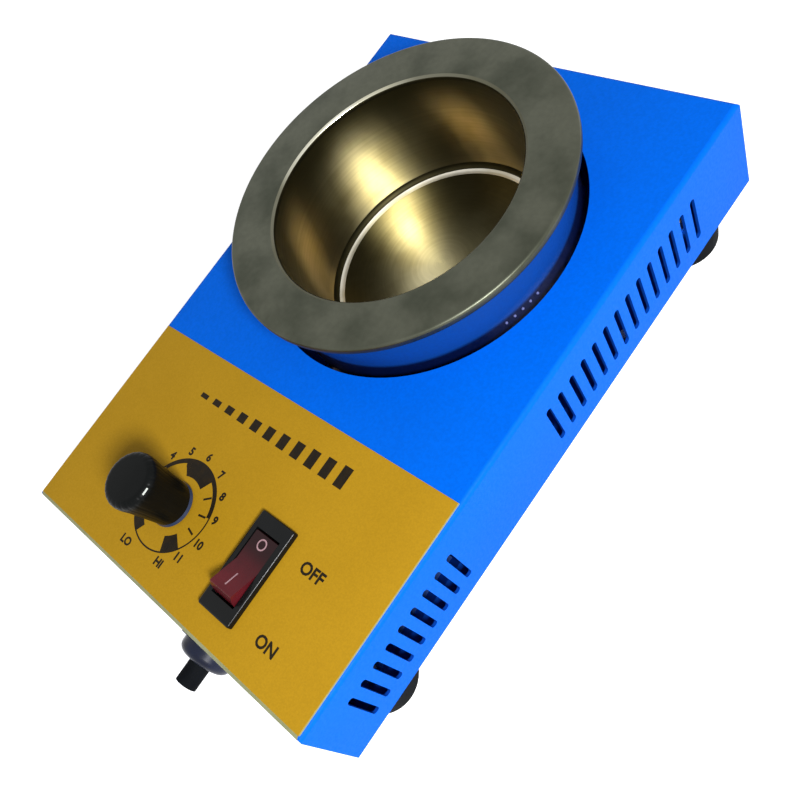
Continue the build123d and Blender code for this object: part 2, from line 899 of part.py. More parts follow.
with BuildPart() as potentiometer_washer:
    with BuildSketch(level(label_top_z)):
        with Locations((knob_x, knob_y)):
            Circle(shaft_washer_radius)
            Circle(bushing_radius + hole_clearance, mode=Mode.SUBTRACT)
    extrude(amount=shaft_washer_thickness)
potentiometer_washer.part.label = "potentiometer_washer"
export_step(potentiometer_washer.part, "parts/potentiometer_washer.step")

with BuildPart() as potentiometer_nut:
    with BuildSketch(level(label_top_z + shaft_washer_thickness)):
        with Locations((knob_x, knob_y)):
            RegularPolygon(shaft_nut_flats / 2, 6, major_radius=False)
            Circle(bushing_radius + sleeve_clearance, mode=Mode.SUBTRACT)
    extrude(amount=shaft_nut_height)
potentiometer_nut.part.label = "potentiometer_nut"
export_step(potentiometer_nut.part, "parts/potentiometer_nut.step")

# Knob: a waisted, fluted grip with a dished top and a pointer groove towards +X
knob_top_z = knob_bottom_z + knob_height
with BuildPart() as knob:
    with BuildSketch(upright(knob_x, knob_y)) as knob_profile:
        with BuildLine():
            Polyline(
                (knob_base_radius, knob_bottom_z + knob_base_height),
                (knob_base_radius, knob_bottom_z),
                (0, knob_bottom_z),
                (0, knob_top_z - knob_top_dish_depth),
                (knob_top_dish_radius, knob_top_z - knob_top_dish_depth),
                (knob_top_dish_radius + knob_top_dish_depth, knob_top_z),
                (knob_top_radius, knob_top_z),
                (knob_top_radius, knob_bottom_z + knob_grip_height),
            )
            ThreePointArc(
                (knob_top_radius, knob_bottom_z + knob_grip_height),
                (knob_waist_radius, knob_bottom_z + knob_waist_height),
                (knob_base_radius, knob_bottom_z + knob_base_height),
            )
        make_face()
        fillet(nearest_corner(knob_profile, knob_top_radius, knob_top_z), knob_top_rounding)
    revolve(axis=upright_axis(knob_x, knob_y))
    with BuildSketch(level(knob_bottom_z + knob_base_height)):
        with Locations((knob_x, knob_y)):
            with PolarLocations(knob_top_radius - flute_depth + flute_radius, flute_count):
                Circle(flute_radius)
    extrude(amount=knob_height - knob_base_height, mode=Mode.SUBTRACT)
    with BuildSketch(level(knob_bottom_z)):
        with Locations((knob_x, knob_y)):
            Circle(knob_recess_radius)
    extrude(amount=knob_recess_depth, mode=Mode.SUBTRACT)
    with BuildSketch(level(knob_bottom_z)):
        with Locations((knob_x, knob_y)):
            Circle(shaft_radius + sleeve_clearance)
        with Locations((knob_x - shaft_radius - sleeve_clearance, knob_y)):
            Rectangle(2 * shaft_flat_depth, 2 * shaft_radius, mode=Mode.SUBTRACT)
    extrude(amount=shaft_top_z + seat_gap - knob_bottom_z, mode=Mode.SUBTRACT)
    with BuildSketch(level(knob_bottom_z)):
        with Locations((knob_x, knob_y)):
            Circle(shaft_radius + sleeve_clearance)
    extrude(amount=shaft_top_z - shaft_flat_length + seat_gap - knob_bottom_z, mode=Mode.SUBTRACT)
    with BuildSketch(level(knob_top_z - pointer_depth)):
        with Locations((knob_x + knob_top_radius - pointer_length / 2, knob_y)):
            Rectangle(pointer_length, pointer_width)
    extrude(amount=pointer_depth, mode=Mode.SUBTRACT)
knob.part.label = "knob"
export_step(knob.part, "parts/knob.step")

# Rocker switch: snap-in housing, rocker on two pivot pins, moving contact, blades and lamp
bezel_top_z = label_top_z + bezel_height
pivot_z = bezel_top_z - pivot_drop
switch_bottom_z = panel_under_z - switch_body_depth
cavity_length = 2 * (rocker_radius + rocker_end_gap)
cavity_width = rocker_width + 2 * rocker_side_gap
with BuildPart() as switch_housing:
    with BuildSketch(level(label_top_z)):
        with Locations((switch_x, switch_y)):
            RectangleRounded(bezel_width, bezel_length, bezel_rounding)
    extrude(amount=bezel_height)
    fillet(switch_housing.faces().sort_by(Axis.Z)[-1].edges(), bezel_rounding)
    with BuildSketch(level(switch_bottom_z)):
        with Locations((switch_x, switch_y)):
            Rectangle(switch_body_width, switch_body_length)
    extrude(amount=label_top_z - switch_bottom_z)
    with BuildSketch(Plane.YZ.offset(switch_x)):
        for end in (-1, 1):
            with BuildLine():
                Polyline(
                    (switch_y + end * switch_body_length / 2, panel_under_z - hole_clearance),
                    (
                        switch_y + end * (switch_body_length / 2 + latch_reach),
                        panel_under_z - hole_clearance,
                    ),
                    (
                        switch_y + end * switch_body_length / 2,
                        panel_under_z - hole_clearance - latch_height,
                    ),
                    close=True,
                )
            make_face()
    extrude(amount=latch_width / 2, both=True)
    with BuildSketch(level(switch_bottom_z + switch_floor)):
        with Locations((switch_x, switch_y)):
            Rectangle(cavity_width, cavity_length)
    extrude(amount=bezel_top_z - switch_bottom_z - switch_floor, mode=Mode.SUBTRACT)
    with BuildSketch(Plane(origin=(switch_x, switch_y, pivot_z), x_dir=(0, 1, 0), z_dir=(1, 0, 0))):
        Circle(pivot_radius + running_clearance)
    extrude(amount=switch_body_width / 2, both=True, mode=Mode.SUBTRACT)
    with BuildSketch(level(switch_bottom_z)):
        with Locations((switch_x, switch_y)):
            with GridLocations(0, blade_pitch, 1, 3):
                Rectangle(blade_width + sleeve_clearance, blade_thickness + sleeve_clearance)
    extrude(amount=switch_floor, mode=Mode.SUBTRACT)
switch_housing.part.label = "switch_housing"
export_step(switch_housing.part, "parts/switch_housing.step")

# The rocker's profile stands on a plane tilted to the off position, with its centre on the pivot
facet_slope = tan(radians(rocker_facet_angle))
facet_end_y = (
    sqrt(
        (rocker_valley * facet_slope) ** 2
        - (1 + facet_slope**2) * (rocker_valley**2 - rocker_radius**2)
    )
    - rocker_valley * facet_slope
) / (1 + facet_slope**2)
facet_end_z = rocker_valley + facet_end_y * facet_slope
skirt_y = rocker_radius * cos(radians(rocker_skirt_angle))
skirt_z = -rocker_radius * sin(radians(rocker_skirt_angle))
pocket_end_y = skirt_y - rocker_skin
rocker_plane = Plane(
    origin=(switch_x, switch_y, pivot_z),
    x_dir=(0, cos(radians(rocker_tilt_angle)), -sin(radians(rocker_tilt_angle))),
    z_dir=(1, 0, 0),
)
with BuildPart() as switch_rocker:
    with BuildSketch(rocker_plane):
        with BuildLine():
            Line((0, rocker_valley), (facet_end_y, facet_end_z))
            ThreePointArc((facet_end_y, facet_end_z), (rocker_radius, 0), (skirt_y, skirt_z))
            Polyline(
                (skirt_y, skirt_z),
                (rocker_hub_half, skirt_z),
                (rocker_hub_half, -rocker_hub_depth),
                (0, -rocker_hub_depth),
            )
            mirror(about=Plane.YZ)
        make_face()
    extrude(amount=rocker_width / 2, both=True)
    rocker_up = Axis(rocker_plane.origin, rocker_plane.y_dir)
    fillet(switch_rocker.edges().filter_by(Axis.X).sort_by(rocker_up)[-2:], rocker_rounding)
    with BuildSketch(rocker_plane):
        with BuildLine():
            Polyline(
                (rocker_hub_half, skirt_z),
                (rocker_hub_half, rocker_valley + rocker_hub_half * facet_slope - rocker_skin),
                (pocket_end_y, rocker_valley + pocket_end_y * facet_slope - rocker_skin),
                (pocket_end_y, skirt_z),
                close=True,
            )
        make_face()
        mirror(about=Plane.YZ)
    extrude(amount=rocker_width / 2 - rocker_skin, both=True, mode=Mode.SUBTRACT)
    with BuildSketch(rocker_plane):
        Circle(pivot_radius)
    extrude(amount=switch_body_width / 2 - running_clearance, both=True)
switch_rocker.part.label = "switch_rocker"
export_step(switch_rocker.part, "parts/switch_rocker.step")

with BuildPart() as switch_contact:
    with BuildSketch(rocker_plane):
        with Locations((0, -rocker_hub_depth - contact_thickness / 2)):
            SlotOverall(contact_length, contact_thickness)
    extrude(amount=contact_width / 2, both=True)
switch_contact.part.label = "switch_contact"
export_step(switch_contact.part, "parts/switch_contact.step")

# Blades: front one made by the contact when the front of the rocker is down, rear one idle
contact_depth = rocker_hub_depth + contact_thickness
made_z = pivot_z - contact_depth / cos(radians(rocker_tilt_angle)) - contact_gap
end_dip = blade_pitch * tan(radians(rocker_tilt_angle))
blade_tops = (made_z - end_dip, made_z, made_z - end_dip - idle_blade_drop)
with BuildPart() as switch_blades:
    for index, top_z in enumerate(blade_tops):
        with BuildSketch(level(switch_bottom_z - blade_reach)):
            with Locations((switch_x, switch_y + (index - 1) * blade_pitch)):
                Rectangle(blade_width, blade_thickness)
        extrude(amount=top_z - switch_bottom_z + blade_reach)
switch_blades.part.label = "switch_blades"
export_step(switch_blades.part, "parts/switch_blades.step")

# Lamp: a small glass tube held across the rear pocket of the rocker
lamp_height = rocker_valley + lamp_offset * facet_slope - rocker_skin - seat_gap - lamp_radius
with BuildPart() as switch_lamp:
    with BuildSketch(rocker_plane):
        with Locations((lamp_offset, lamp_height)):
            Circle(lamp_radius)
    extrude(amount=rocker_width / 2 - rocker_skin - sleeve_clearance, both=True)
    fillet(switch_lamp.edges().filter_by(GeomType.CIRCLE), lamp_radius / 2)
switch_lamp.part.label = "switch_lamp"
export_step(switch_lamp.part, "parts/switch_lamp.step")

# Cable gland: hexagon collar and thread, locknut inside, domed cap and a rubber bend sleeve
collar_front_y = front_y - gland_collar_thickness
gland_back_y = front_y + gland_thread_length
with BuildPart() as gland_body:
    with BuildSketch(facing_front(gland_x, front_y, gland_z)):
        RegularPolygon(gland_flats / 2, 6, major_radius=False)
    extrude(amount=gland_collar_thickness)
    with BuildSketch(facing_front(gland_x, gland_back_y, gland_z)):
        Circle(gland_thread_radius)
    extrude(amount=gland_thread_length)
    with BuildSketch(facing_front(gland_x, gland_back_y, gland_z)):
        Circle(gland_bore_radius)
    extrude(amount=gland_thread_length + gland_collar_thickness, mode=Mode.SUBTRACT)
gland_body.part.label = "gland_body"
export_step(gland_body.part, "parts/gland_body.step")

with BuildPart() as gland_cap:
    with BuildSketch(facing_front(gland_x, collar_front_y, gland_z)):
        Circle(gland_cap_radius)
    extrude(amount=gland_cap_length)
    fillet(gland_cap.faces().sort_by(Axis.Y)[0].edges(), gland_cap_rounding)
    with BuildSketch(facing_front(gland_x, collar_front_y, gland_z)):
        Circle(sleeve_radius + sleeve_clearance)
    extrude(amount=gland_cap_length, mode=Mode.SUBTRACT)
gland_cap.part.label = "gland_cap"
export_step(gland_cap.part, "parts/gland_cap.step")

with BuildPart() as gland_sleeve:
    with BuildSketch(facing_front(gland_x, front_y + gland_thread_length, gland_z)):
        Circle(sleeve_radius)
    extrude(amount=gland_thread_length + sleeve_reach)
    with BuildSketch(facing_front(gland_x, front_y + gland_thread_length, gland_z)):
        Circle(gland_bore_radius - sleeve_clearance)
    extrude(amount=gland_thread_length + gland_collar_thickness)
    with BuildSketch(facing_front(gland_x, front_y + gland_thread_length, gland_z)):
        Circle(sleeve_bore_radius)
    extrude(amount=gland_thread_length + sleeve_reach, mode=Mode.SUBTRACT)
gland_sleeve.part.label = "gland_sleeve"
export_step(gland_sleeve.part, "parts/gland_sleeve.step")

with BuildPart() as gland_locknut:
    with BuildSketch(facing_front(gland_x, front_y + sheet + gland_nut_thickness, gland_z)):
        RegularPolygon(gland_nut_flats / 2, 6, major_radius=False)
        Circle(gland_thread_radius + sleeve_clearance, mode=Mode.SUBTRACT)
    extrude(amount=gland_nut_thickness)
gland_locknut.part.label = "gland_locknut"
export_step(gland_locknut.part, "parts/gland_locknut.step")

# Control board on four hexagon standoffs
with BuildPart() as circuit_board:
    with BuildSketch(level(board_bottom_z)):
        with Locations((board_x, board_y)):
            Rectangle(board_length, board_width)
        with Locations(*board_hole_points):
            Circle(m3.shank_radius + hole_clearance, mode=Mode.SUBTRACT)
    extrude(amount=board_thickness)
circuit_board.part.label = "circuit_board"
export_step(circuit_board.part, "parts/circuit_board.step")

with BuildPart() as board_standoffs:
    with BuildSketch(level(base_top_z)):
        with Locations(*board_hole_points):
            RegularPolygon(standoff_flats / 2, 6, major_radius=False)
            Circle(m3.shank_radius + sleeve_clearance, mode=Mode.SUBTRACT)
    extrude(amount=standoff_height)
board_standoffs.part.label = "board_standoffs"
export_step(board_standoffs.part, "parts/board_standoffs.step")

board_screw_reach = standoff_height / 2 - seat_gap
board_screws = pan_screws(
    facing_down(board_top_z),
    seen_from_below(board_hole_points),
    m3,
    board_thickness + board_screw_reach,
)
board_screws.part.label = "board_screws"
export_step(board_screws.part, "parts/board_screws.step")

standoff_screws = pan_screws(
    level(base_z), board_hole_points, m3, base_thickness + board_screw_reach
)
standoff_screws.part.label = "standoff_screws"
export_step(standoff_screws.part, "parts/standoff_screws.step")

# Finned heat sink with the power device screwed to its front
sink_front_y = board_y + sink_y
sink_fin_pitch = (sink_width - sink_fin_thickness) / (sink_fin_count - 1)
sink_centre_x = board_x + sink_x
triac_hole_z = board_top_z + triac_lift + triac_body_height + triac_tab_height / 2
with BuildPart() as heat_sink:
    with BuildSketch(level(board_top_z)):
        with Locations((sink_centre_x, sink_front_y + sink_plate / 2)):
            Rectangle(sink_width, sink_plate)
        with Locations((sink_centre_x, sink_front_y + sink_plate + sink_fin_length / 2)):
            with GridLocations(sink_fin_pitch, 0, sink_fin_count, 1):
                Rectangle(sink_fin_thickness, sink_fin_length)
    extrude(amount=sink_height)
    with BuildSketch(facing_front(sink_centre_x, sink_front_y + sink_plate, triac_hole_z)):
        Circle(m3.shank_radius + sleeve_clearance)
    extrude(amount=sink_plate, mode=Mode.SUBTRACT)
heat_sink.part.label = "heat_sink"
export_step(heat_sink.part, "parts/heat_sink.step")

triac_body_z = board_top_z + triac_lift
with BuildPart() as triac:
    with BuildSketch(facing_front(sink_centre_x, sink_front_y, triac_body_z + triac_body_height / 2)):
        Rectangle(triac_width, triac_body_height)
    extrude(amount=triac_body_depth)
    with BuildSketch(
        facing_front(
            sink_centre_x, sink_front_y, triac_body_z + triac_body_height + triac_tab_height / 2
        )
    ):
        Rectangle(triac_width, triac_tab_height)
        Circle(triac_hole_radius, mode=Mode.SUBTRACT)
    extrude(amount=triac_tab_thickness)
    with BuildSketch(level(board_top_z)):
        with Locations((sink_centre_x, sink_front_y - triac_body_depth / 2)):
            with GridLocations(triac_leg_pitch, 0, 3, 1):
                Rectangle(triac_leg_width, triac_leg_width)
    extrude(amount=triac_lift)
triac.part.label = "triac"
export_step(triac.part, "parts/triac.step")

triac_screw = pan_screws(
    Plane(
        origin=(sink_centre_x, sink_front_y - triac_tab_thickness, triac_hole_z),
        x_dir=(1, 0, 0),
        z_dir=(0, 1, 0),
    ),
    [(0, 0)],
    m3,
    triac_tab_thickness + sink_plate,
)
triac_screw.part.label = "triac_screw"
export_step(triac_screw.part, "parts/triac_screw.step")

# Film capacitor, resistors and trigger diode
with BuildPart() as film_capacitor:
    with BuildSketch(level(board_top_z)):
        with Locations((board_x + capacitor_x, board_y + capacitor_y)):
            RectangleRounded(capacitor_length, capacitor_width, capacitor_rounding)
    extrude(amount=capacitor_height)
    fillet(film_capacitor.faces().sort_by(Axis.Z)[-1].edges(), capacitor_rounding)
film_capacitor.part.label = "film_capacitor"
export_step(film_capacitor.part, "parts/film_capacitor.step")


def axial_parts(places, body_length, body_radius, lift, wire_span):
    """Two-lead parts lying along X on the board, each with its leads bent down to the board."""
    wire_z = board_top_z + lift + body_radius
    with BuildPart() as axial:
        for place_x, place_y in places:
            x = board_x + place_x
            y = board_y + place_y
            with BuildSketch(
                Plane(origin=(x, y, wire_z), x_dir=(0, 1, 0), z_dir=(1, 0, 0))
            ):
                Circle(body_radius)
            extrude(amount=body_length / 2, both=True)
            with BuildLine() as wire:
                FilletPolyline(
                    (x - wire_span / 2, y, board_top_z),
                    (x - wire_span / 2, y, wire_z),
                    (x + wire_span / 2, y, wire_z),
                    (x + wire_span / 2, y, board_top_z),
                    radius=2 * resistor_wire_radius,
                )
            with BuildSketch(Plane(origin=(x - wire_span / 2, y, board_top_z), z_dir=(0, 0, 1))):
                Circle(resistor_wire_radius)
            sweep(path=wire.line)
    return axial


resistors = axial_parts(
    resistor_places, resistor_length, resistor_radius, resistor_lift, resistor_wire_span
)
resistors.part.label = "resistors"
export_step(resistors.part, "parts/resistors.step")

trigger_diode = axial_parts([diac_place], diac_length, diac_radius, resistor_lift, diac_wire_span)
trigger_diode.part.label = "trigger_diode"
export_step(trigger_diode.part, "parts/trigger_diode.step")


def terminal_strip(place, bottom_z, width, height, pitch, ways, bearing, fixing_points=()):
    """A strip of screw terminals: a wire entry and a screw well in each way, and fixing holes."""
    x, y = place
    across = Plane(
        origin=(x, y, bottom_z + (height - block_screw_depth) / 2),
        x_dir=(cos(radians(bearing)), sin(radians(bearing)), 0),
        z_dir=(sin(radians(bearing)), -cos(radians(bearing)), 0),
    )
    with BuildPart() as strip:
        with BuildSketch(level(bottom_z)):
            with Locations(Location((x, y), bearing)):
                with GridLocations(pitch, 0, ways, 1):
                    Rectangle(pitch, width)
        extrude(amount=height)
        with BuildSketch(across):
            with GridLocations(pitch, 0, ways, 1):
                Circle(power_lead_radius + sleeve_clearance)
        extrude(amount=width, both=True, mode=Mode.SUBTRACT)
        with BuildSketch(level(bottom_z + height - block_screw_depth)):
            with Locations(Location((x, y), bearing)):
                with GridLocations(pitch, 0, ways, 1):
                    Circle(block_screw_radius)
        extrude(amount=block_screw_depth, mode=Mode.SUBTRACT)
        for fixing in fixing_points:
            with BuildSketch(level(bottom_z)):
                with Locations(fixing):
                    Circle(m25.shank_radius + hole_clearance)
            extrude(amount=height, mode=Mode.SUBTRACT)
    return strip


board_block = terminal_strip(
    (board_x + board_block_x, board_y + board_block_y),
    board_top_z,
    board_block_width,
    board_block_height,
    board_block_pitch,
    board_block_ways,
    0,
)
board_block.part.label = "board_terminals"
export_step(board_block.part, "parts/board_terminals.step")

# Mains terminal block, screwed to the base between its ways
mains_block = terminal_strip(
    (mains_block_x, mains_block_y),
    base_top_z,
    mains_block_width,
    mains_block_height,
    mains_block_pitch,
    mains_block_ways,
    90,
    mains_screw_points,
)
mains_block.part.label = "mains_terminals"
export_step(mains_block.part, "parts/mains_terminals.step")

mains_screws = pan_screws(
    facing_down(base_top_z + mains_block_height),
    seen_from_below(mains_screw_points),
    m25,
    mains_block_height + base_thickness + m25.nut_height + m25.head_rounding,
)
mains_screws.part.label = "mains_screws"
export_step(mains_screws.part, "parts/mains_screws.step")

mains_nuts = hex_nuts(facing_down(base_z), seen_from_below(mains_screw_points), m25)
mains_nuts.part.label = "mains_nuts"
export_step(mains_nuts.part, "parts/mains_nuts.step")

# Earth stud: a screw up through the base, a nut and a crimped ring tag between them
earth_screw = pan_screws(
    level(base_z),
    [earth_point],
    m4,
    base_thickness + earth_tag_thickness + m4.nut_height + m4.head_rounding,
)
earth_screw.part.label = "earth_screw"
export_step(earth_screw.part, "parts/earth_screw.step")

with BuildPart() as earth_tag:
    with BuildSketch(level(base_top_z)):
        with Locations(earth_point):
            Circle(earth_tag_radius)
        with Locations((earth_x - earth_tag_length / 2, earth_y)):
            Rectangle(earth_tag_length, 2 * earth_tag_barrel_radius)
        with Locations(earth_point):
            Circle(m4.shank_radius + hole_clearance, mode=Mode.SUBTRACT)
    extrude(amount=earth_tag_thickness)
earth_tag.part.label = "earth_tag"
export_step(earth_tag.part, "parts/earth_tag.step")

earth_nut = hex_nuts(level(base_top_z + earth_tag_thickness), [earth_point], m4)
earth_nut.part.label = "earth_nut"
export_step(earth_nut.part, "parts/earth_nut.step")


def inner_leads(routes, radius):
    """Round wires along hand-chosen routes, with each bend as large as its shorter run allows."""
    with BuildPart() as wires:
        for route in routes:
            points = [Vector(*point) for point in route]
            runs = [end - start for start, end in zip(points, points[1:])]
            bends = [
                lead_arc_share
                * min(before.length, after.length)
                / tan(radians(before.get_angle(after) / 2))
                for before, after in zip(runs, runs[1:])
            ]
            with BuildLine() as path:
                FilletPolyline(*points, radius=bends)
            with BuildSketch(Plane(origin=points[0], z_dir=runs[0])):
                Circle(radius)
            sweep(path=path.line)
            print(
                f"lead of radius {radius}: length {path.wires()[0].length:.1f},",
                "bends " + ", ".join(f"{bend:.1f}" for bend in bends),
            )
    return wires


# Where the leads end: the ways of the two blocks, the blades and lugs, and the ears of the band
block_inner_x = mains_block_x - mains_block_width / 2 + lead_reach
block_entry_z = base_top_z + (mains_block_height - block_screw_depth) / 2
live_y, neutral_y, earth_way_y = [mains_block_y + step * mains_block_pitch for step in (-1, 0, 1)]
board_inner_y = board_y + board_block_y - board_block_width / 2 + lead_reach
board_entry_z = board_top_z + (board_block_height - block_screw_depth) / 2
switched_x, return_x, heater_left_x, heater_right_x = [
    board_x + board_block_x + (way - (board_block_ways - 1) / 2) * board_block_pitch
    for way in range(board_block_ways)
]
front_blade_y, middle_blade_y, lamp_blade_y = [
    switch_y + step * blade_pitch for step in (-1, 0, 1)
]
blade_right_x = switch_x + blade_width / 2
blade_left_x = switch_x - blade_width / 2
blade_middle_z = switch_bottom_z - blade_reach / 2
blade_upper_z = switch_bottom_z - blade_reach / 4
lug_end_y = lug_tip_y + lug_thickness / 2
lug_end_z = track_under_z - lug_drop
ear_x = (band_gap + ear_thickness) / 2
ear_under_z = clamp_z - ear_height / 2

# Mains leads: live to the middle blade, neutral to the lamp blade and on to the board
mains_leads = inner_leads(
    [
        [
            (block_inner_x, live_y, block_entry_z),
            (35.0, live_y, block_entry_z),
            (33.5, -62.5, 15.5),
            (33.5, middle_blade_y, blade_middle_z),
            (blade_right_x, middle_blade_y, blade_middle_z),
        ],
        [
            (block_inner_x, neutral_y, block_entry_z),
            (34.5, neutral_y, block_entry_z),
            (33.0, -54.5, 17.5),
            (33.5, lamp_blade_y, blade_upper_z),
            (blade_right_x, lamp_blade_y, blade_upper_z),
        ],
        [
            (blade_left_x, lamp_blade_y, blade_upper_z),
            (11.0, lamp_blade_y, blade_upper_z),
            (-3.0, -60.5, 18.5),
            (-16.0, -59.5, 18.0),
            (return_x, -58.5, board_entry_z),
            (return_x, board_inner_y, board_entry_z),
        ],
    ],
    power_lead_radius,
)
mains_leads.part.label = "mains_leads"
export_step(mains_leads.part, "parts/mains_leads.step")

# Switch lead: from the front blade to the board
switch_leads = inner_leads(
    [
        [
            (blade_left_x, front_blade_y, blade_middle_z),
            (9.0, front_blade_y, blade_middle_z),
            (-9.0, -72.0, 15.5),
            (-25.0, -67.0, 17.0),
            (switched_x, -60.5, board_entry_z),
            (switched_x, board_inner_y, board_entry_z),
        ],
    ],
    power_lead_radius,
)
switch_leads.part.label = "switch_leads"
export_step(switch_leads.part, "parts/switch_leads.step")

# Heater leads: from the board, through the ceramic bush and up to the ears of the band
heater_leads = inner_leads(
    [
        [
            (heater_right_x, board_inner_y, board_entry_z),
            (heater_right_x, -53.5, board_entry_z),
            (-9.5, -56.5, 21.0),
            (-1.0, -48.5, 22.5),
            (2.0, -37.0, 23.5),
            (ear_x, -25.0, 25.0),
            (ear_x, -14.0, bush_z),
            (ear_x, -2.5, bush_z),
            (ear_x, -2.5, ear_under_z),
        ],
        [
            (heater_left_x, board_inner_y, board_entry_z),
            (heater_left_x, -52.5, board_entry_z),
            (-15.5, -56.0, 24.0),
            (-6.0, -51.0, 26.5),
            (-3.5, -39.0, 28.0),
            (-3.0, -26.0, 28.5),
            (-ear_x, -14.0, bush_z),
            (-ear_x, -2.5, bush_z),
            (-ear_x, -2.5, ear_under_z),
        ],
    ],
    heater_lead_radius,
)
heater_leads.part.label = "heater_leads"
export_step(heater_leads.part, "parts/heater_leads.step")

# Potentiometer leads: from two of the lugs, round the front of the board and down to it
potentiometer_leads = inner_leads(
    [
        [
            (knob_x - lug_pitch, lug_end_y, lug_end_z),
            (knob_x - lug_pitch, lug_end_y, 20.5),
            (-30.0, -76.5, 14.5),
            (-45.0, -64.0, 16.0),
            (-55.5, -50.5, 20.5),
            (-57.0, -40.0, 24.0),
            (-57.0, -34.5, 21.5),
            (-57.0, -34.5, board_top_z),
        ],
        [
            (knob_x, lug_end_y, lug_end_z),
            (knob_x, lug_end_y, 18.5),
            (-27.0, -73.0, 12.5),
            (-43.0, -60.0, 13.5),
            (-52.5, -49.0, 21.0),
            (-54.5, -38.0, 25.0),
            (-54.5, -30.5, 22.5),
            (-54.5, -30.5, board_top_z),
        ],
    ],
    signal_lead_radius,
)
potentiometer_leads.part.label = "potentiometer_leads"
export_step(potentiometer_leads.part, "parts/potentiometer_leads.step")

# Earth lead: from the mains block down to the barrel of the ring tag
earth_lead = inner_leads(
    [
        [
            (block_inner_x, earth_way_y, block_entry_z),
            (34.0, earth_way_y, block_entry_z),
            (31.0, -30.0, 17.5),
            (34.5, -23.5, 19.0),
            (37.0, earth_y, 16.0),
            (37.0, earth_y, base_top_z + earth_tag_thickness),
        ],
    ],
    power_lead_radius,
)
earth_lead.part.label = "earth_lead"
export_step(earth_lead.part, "parts/earth_lead.step")
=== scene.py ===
import logging
import math
from dataclasses import dataclass, replace
from enum import Enum

import bmesh
import bpy
from mathutils import Matrix, Vector


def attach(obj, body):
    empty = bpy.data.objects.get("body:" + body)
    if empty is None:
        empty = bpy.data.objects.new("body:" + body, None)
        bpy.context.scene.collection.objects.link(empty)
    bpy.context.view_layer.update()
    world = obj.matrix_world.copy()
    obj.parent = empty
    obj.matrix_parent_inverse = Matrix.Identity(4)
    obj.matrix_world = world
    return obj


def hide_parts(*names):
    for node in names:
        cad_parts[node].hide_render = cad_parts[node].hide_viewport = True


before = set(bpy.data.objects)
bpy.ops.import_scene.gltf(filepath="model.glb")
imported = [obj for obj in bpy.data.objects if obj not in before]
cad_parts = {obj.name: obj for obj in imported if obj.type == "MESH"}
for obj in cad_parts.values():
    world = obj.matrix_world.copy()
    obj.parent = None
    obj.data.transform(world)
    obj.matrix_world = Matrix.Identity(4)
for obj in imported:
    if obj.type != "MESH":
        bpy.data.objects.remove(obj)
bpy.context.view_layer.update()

LOG = logging.getLogger("solder_pot")
MM = 0.001
INK_LIFT = 0.03
POT_AXIS = (0.0, 43.0)
CURVE_STEPS = 8
WHITE = (1.0, 1.0, 1.0, 1.0)
# The shares of a noise between which colour patches fade in, and the relief turns from hollow to crest
PATCH_RANGE = (0.35, 0.7)
RELIEF_RANGE = (0.3, 0.7)
# How the base colour is darkened in a hollow and lightened on a crest: painted shade in the hollows and
# painted light on the crests of the fine relief
RELIEF_SHADE = (0.93, 1.03)
# How much a drawn grain is stretched along the stock
DRAWN_STRETCH = (1.0, 0.03, 1.0)
SOCKET_TYPES = {
    int: "NodeSocketInt",
    float: "NodeSocketFloat",
    tuple: "NodeSocketVector",
    type(None): "NodeSocketMaterial",
}
Point = tuple[float, float, float]
Tree = bpy.types.NodeTree
Socket = bpy.types.NodeSocket
Mesh = bpy.types.Mesh


def linear(code: str) -> tuple[float, float, float, float]:
    """Turn an sRGB colour into the linear values that a colour socket takes.

    Args:
        code: Six hex digits after a hash.

    Returns:
        Red, green, blue and alpha.
    """
    shares = [int(code[start : start + 2], 16) / 255 for start in (1, 3, 5)]
    red, green, blue = (
        share / 12.92 if share <= 0.04045 else ((share + 0.055) / 1.055) ** 2.4 for share in shares
    )
    return red, green, blue, 1.0


def metres(*lengths: float) -> tuple[float, ...]:
    """Turn millimetres into metres."""
    return tuple(length * MM for length in lengths)


def add_node(tree: Tree, kind: str, inputs: dict | None = None, **settings: object) -> bpy.types.Node:
    """Add a node with its settings, its socket values and its links.

    Args:
        tree: The node tree.
        kind: The node's type name.
        inputs: Socket name or index to a plain value, or to the output socket that feeds it.
        settings: Properties of the node, set before its sockets.

    Returns:
        The new node.
    """
    node = tree.nodes.new(kind)
    for key, value in settings.items():
        setattr(node, key, value)
    for key, value in (inputs or {}).items():
        if isinstance(value, bpy.types.NodeSocket):
            tree.links.new(value, node.inputs[key])
        else:
            node.inputs[key].default_value = value
    return node


def calc(tree: Tree, operation: str, *values: Socket | float) -> Socket:
    """Work out a value from sockets and numbers."""
    return add_node(tree, "ShaderNodeMath", dict(enumerate(values)), operation=operation).outputs[0]


def vector_calc(tree: Tree, operation: str, *values: Socket) -> Socket:
    """Work out a vector, or the length of one, from sockets."""
    node = add_node(tree, "ShaderNodeVectorMath", dict(enumerate(values)), operation=operation)
    return node.outputs["Value" if operation == "LENGTH" else "Vector"]


def split(tree: Tree, vector: Socket) -> bpy.types.bpy_prop_collection:
    """Give a vector's parts, under X, Y and Z."""
    return add_node(tree, "ShaderNodeSeparateXYZ", {0: vector}).outputs


def combine(
    tree: Tree, x: Socket | float = 0.0, y: Socket | float = 0.0, z: Socket | float = 0.0
) -> Socket:
    """Make a vector from its parts."""
    return add_node(tree, "ShaderNodeCombineXYZ", {0: x, 1: y, 2: z}).outputs[0]


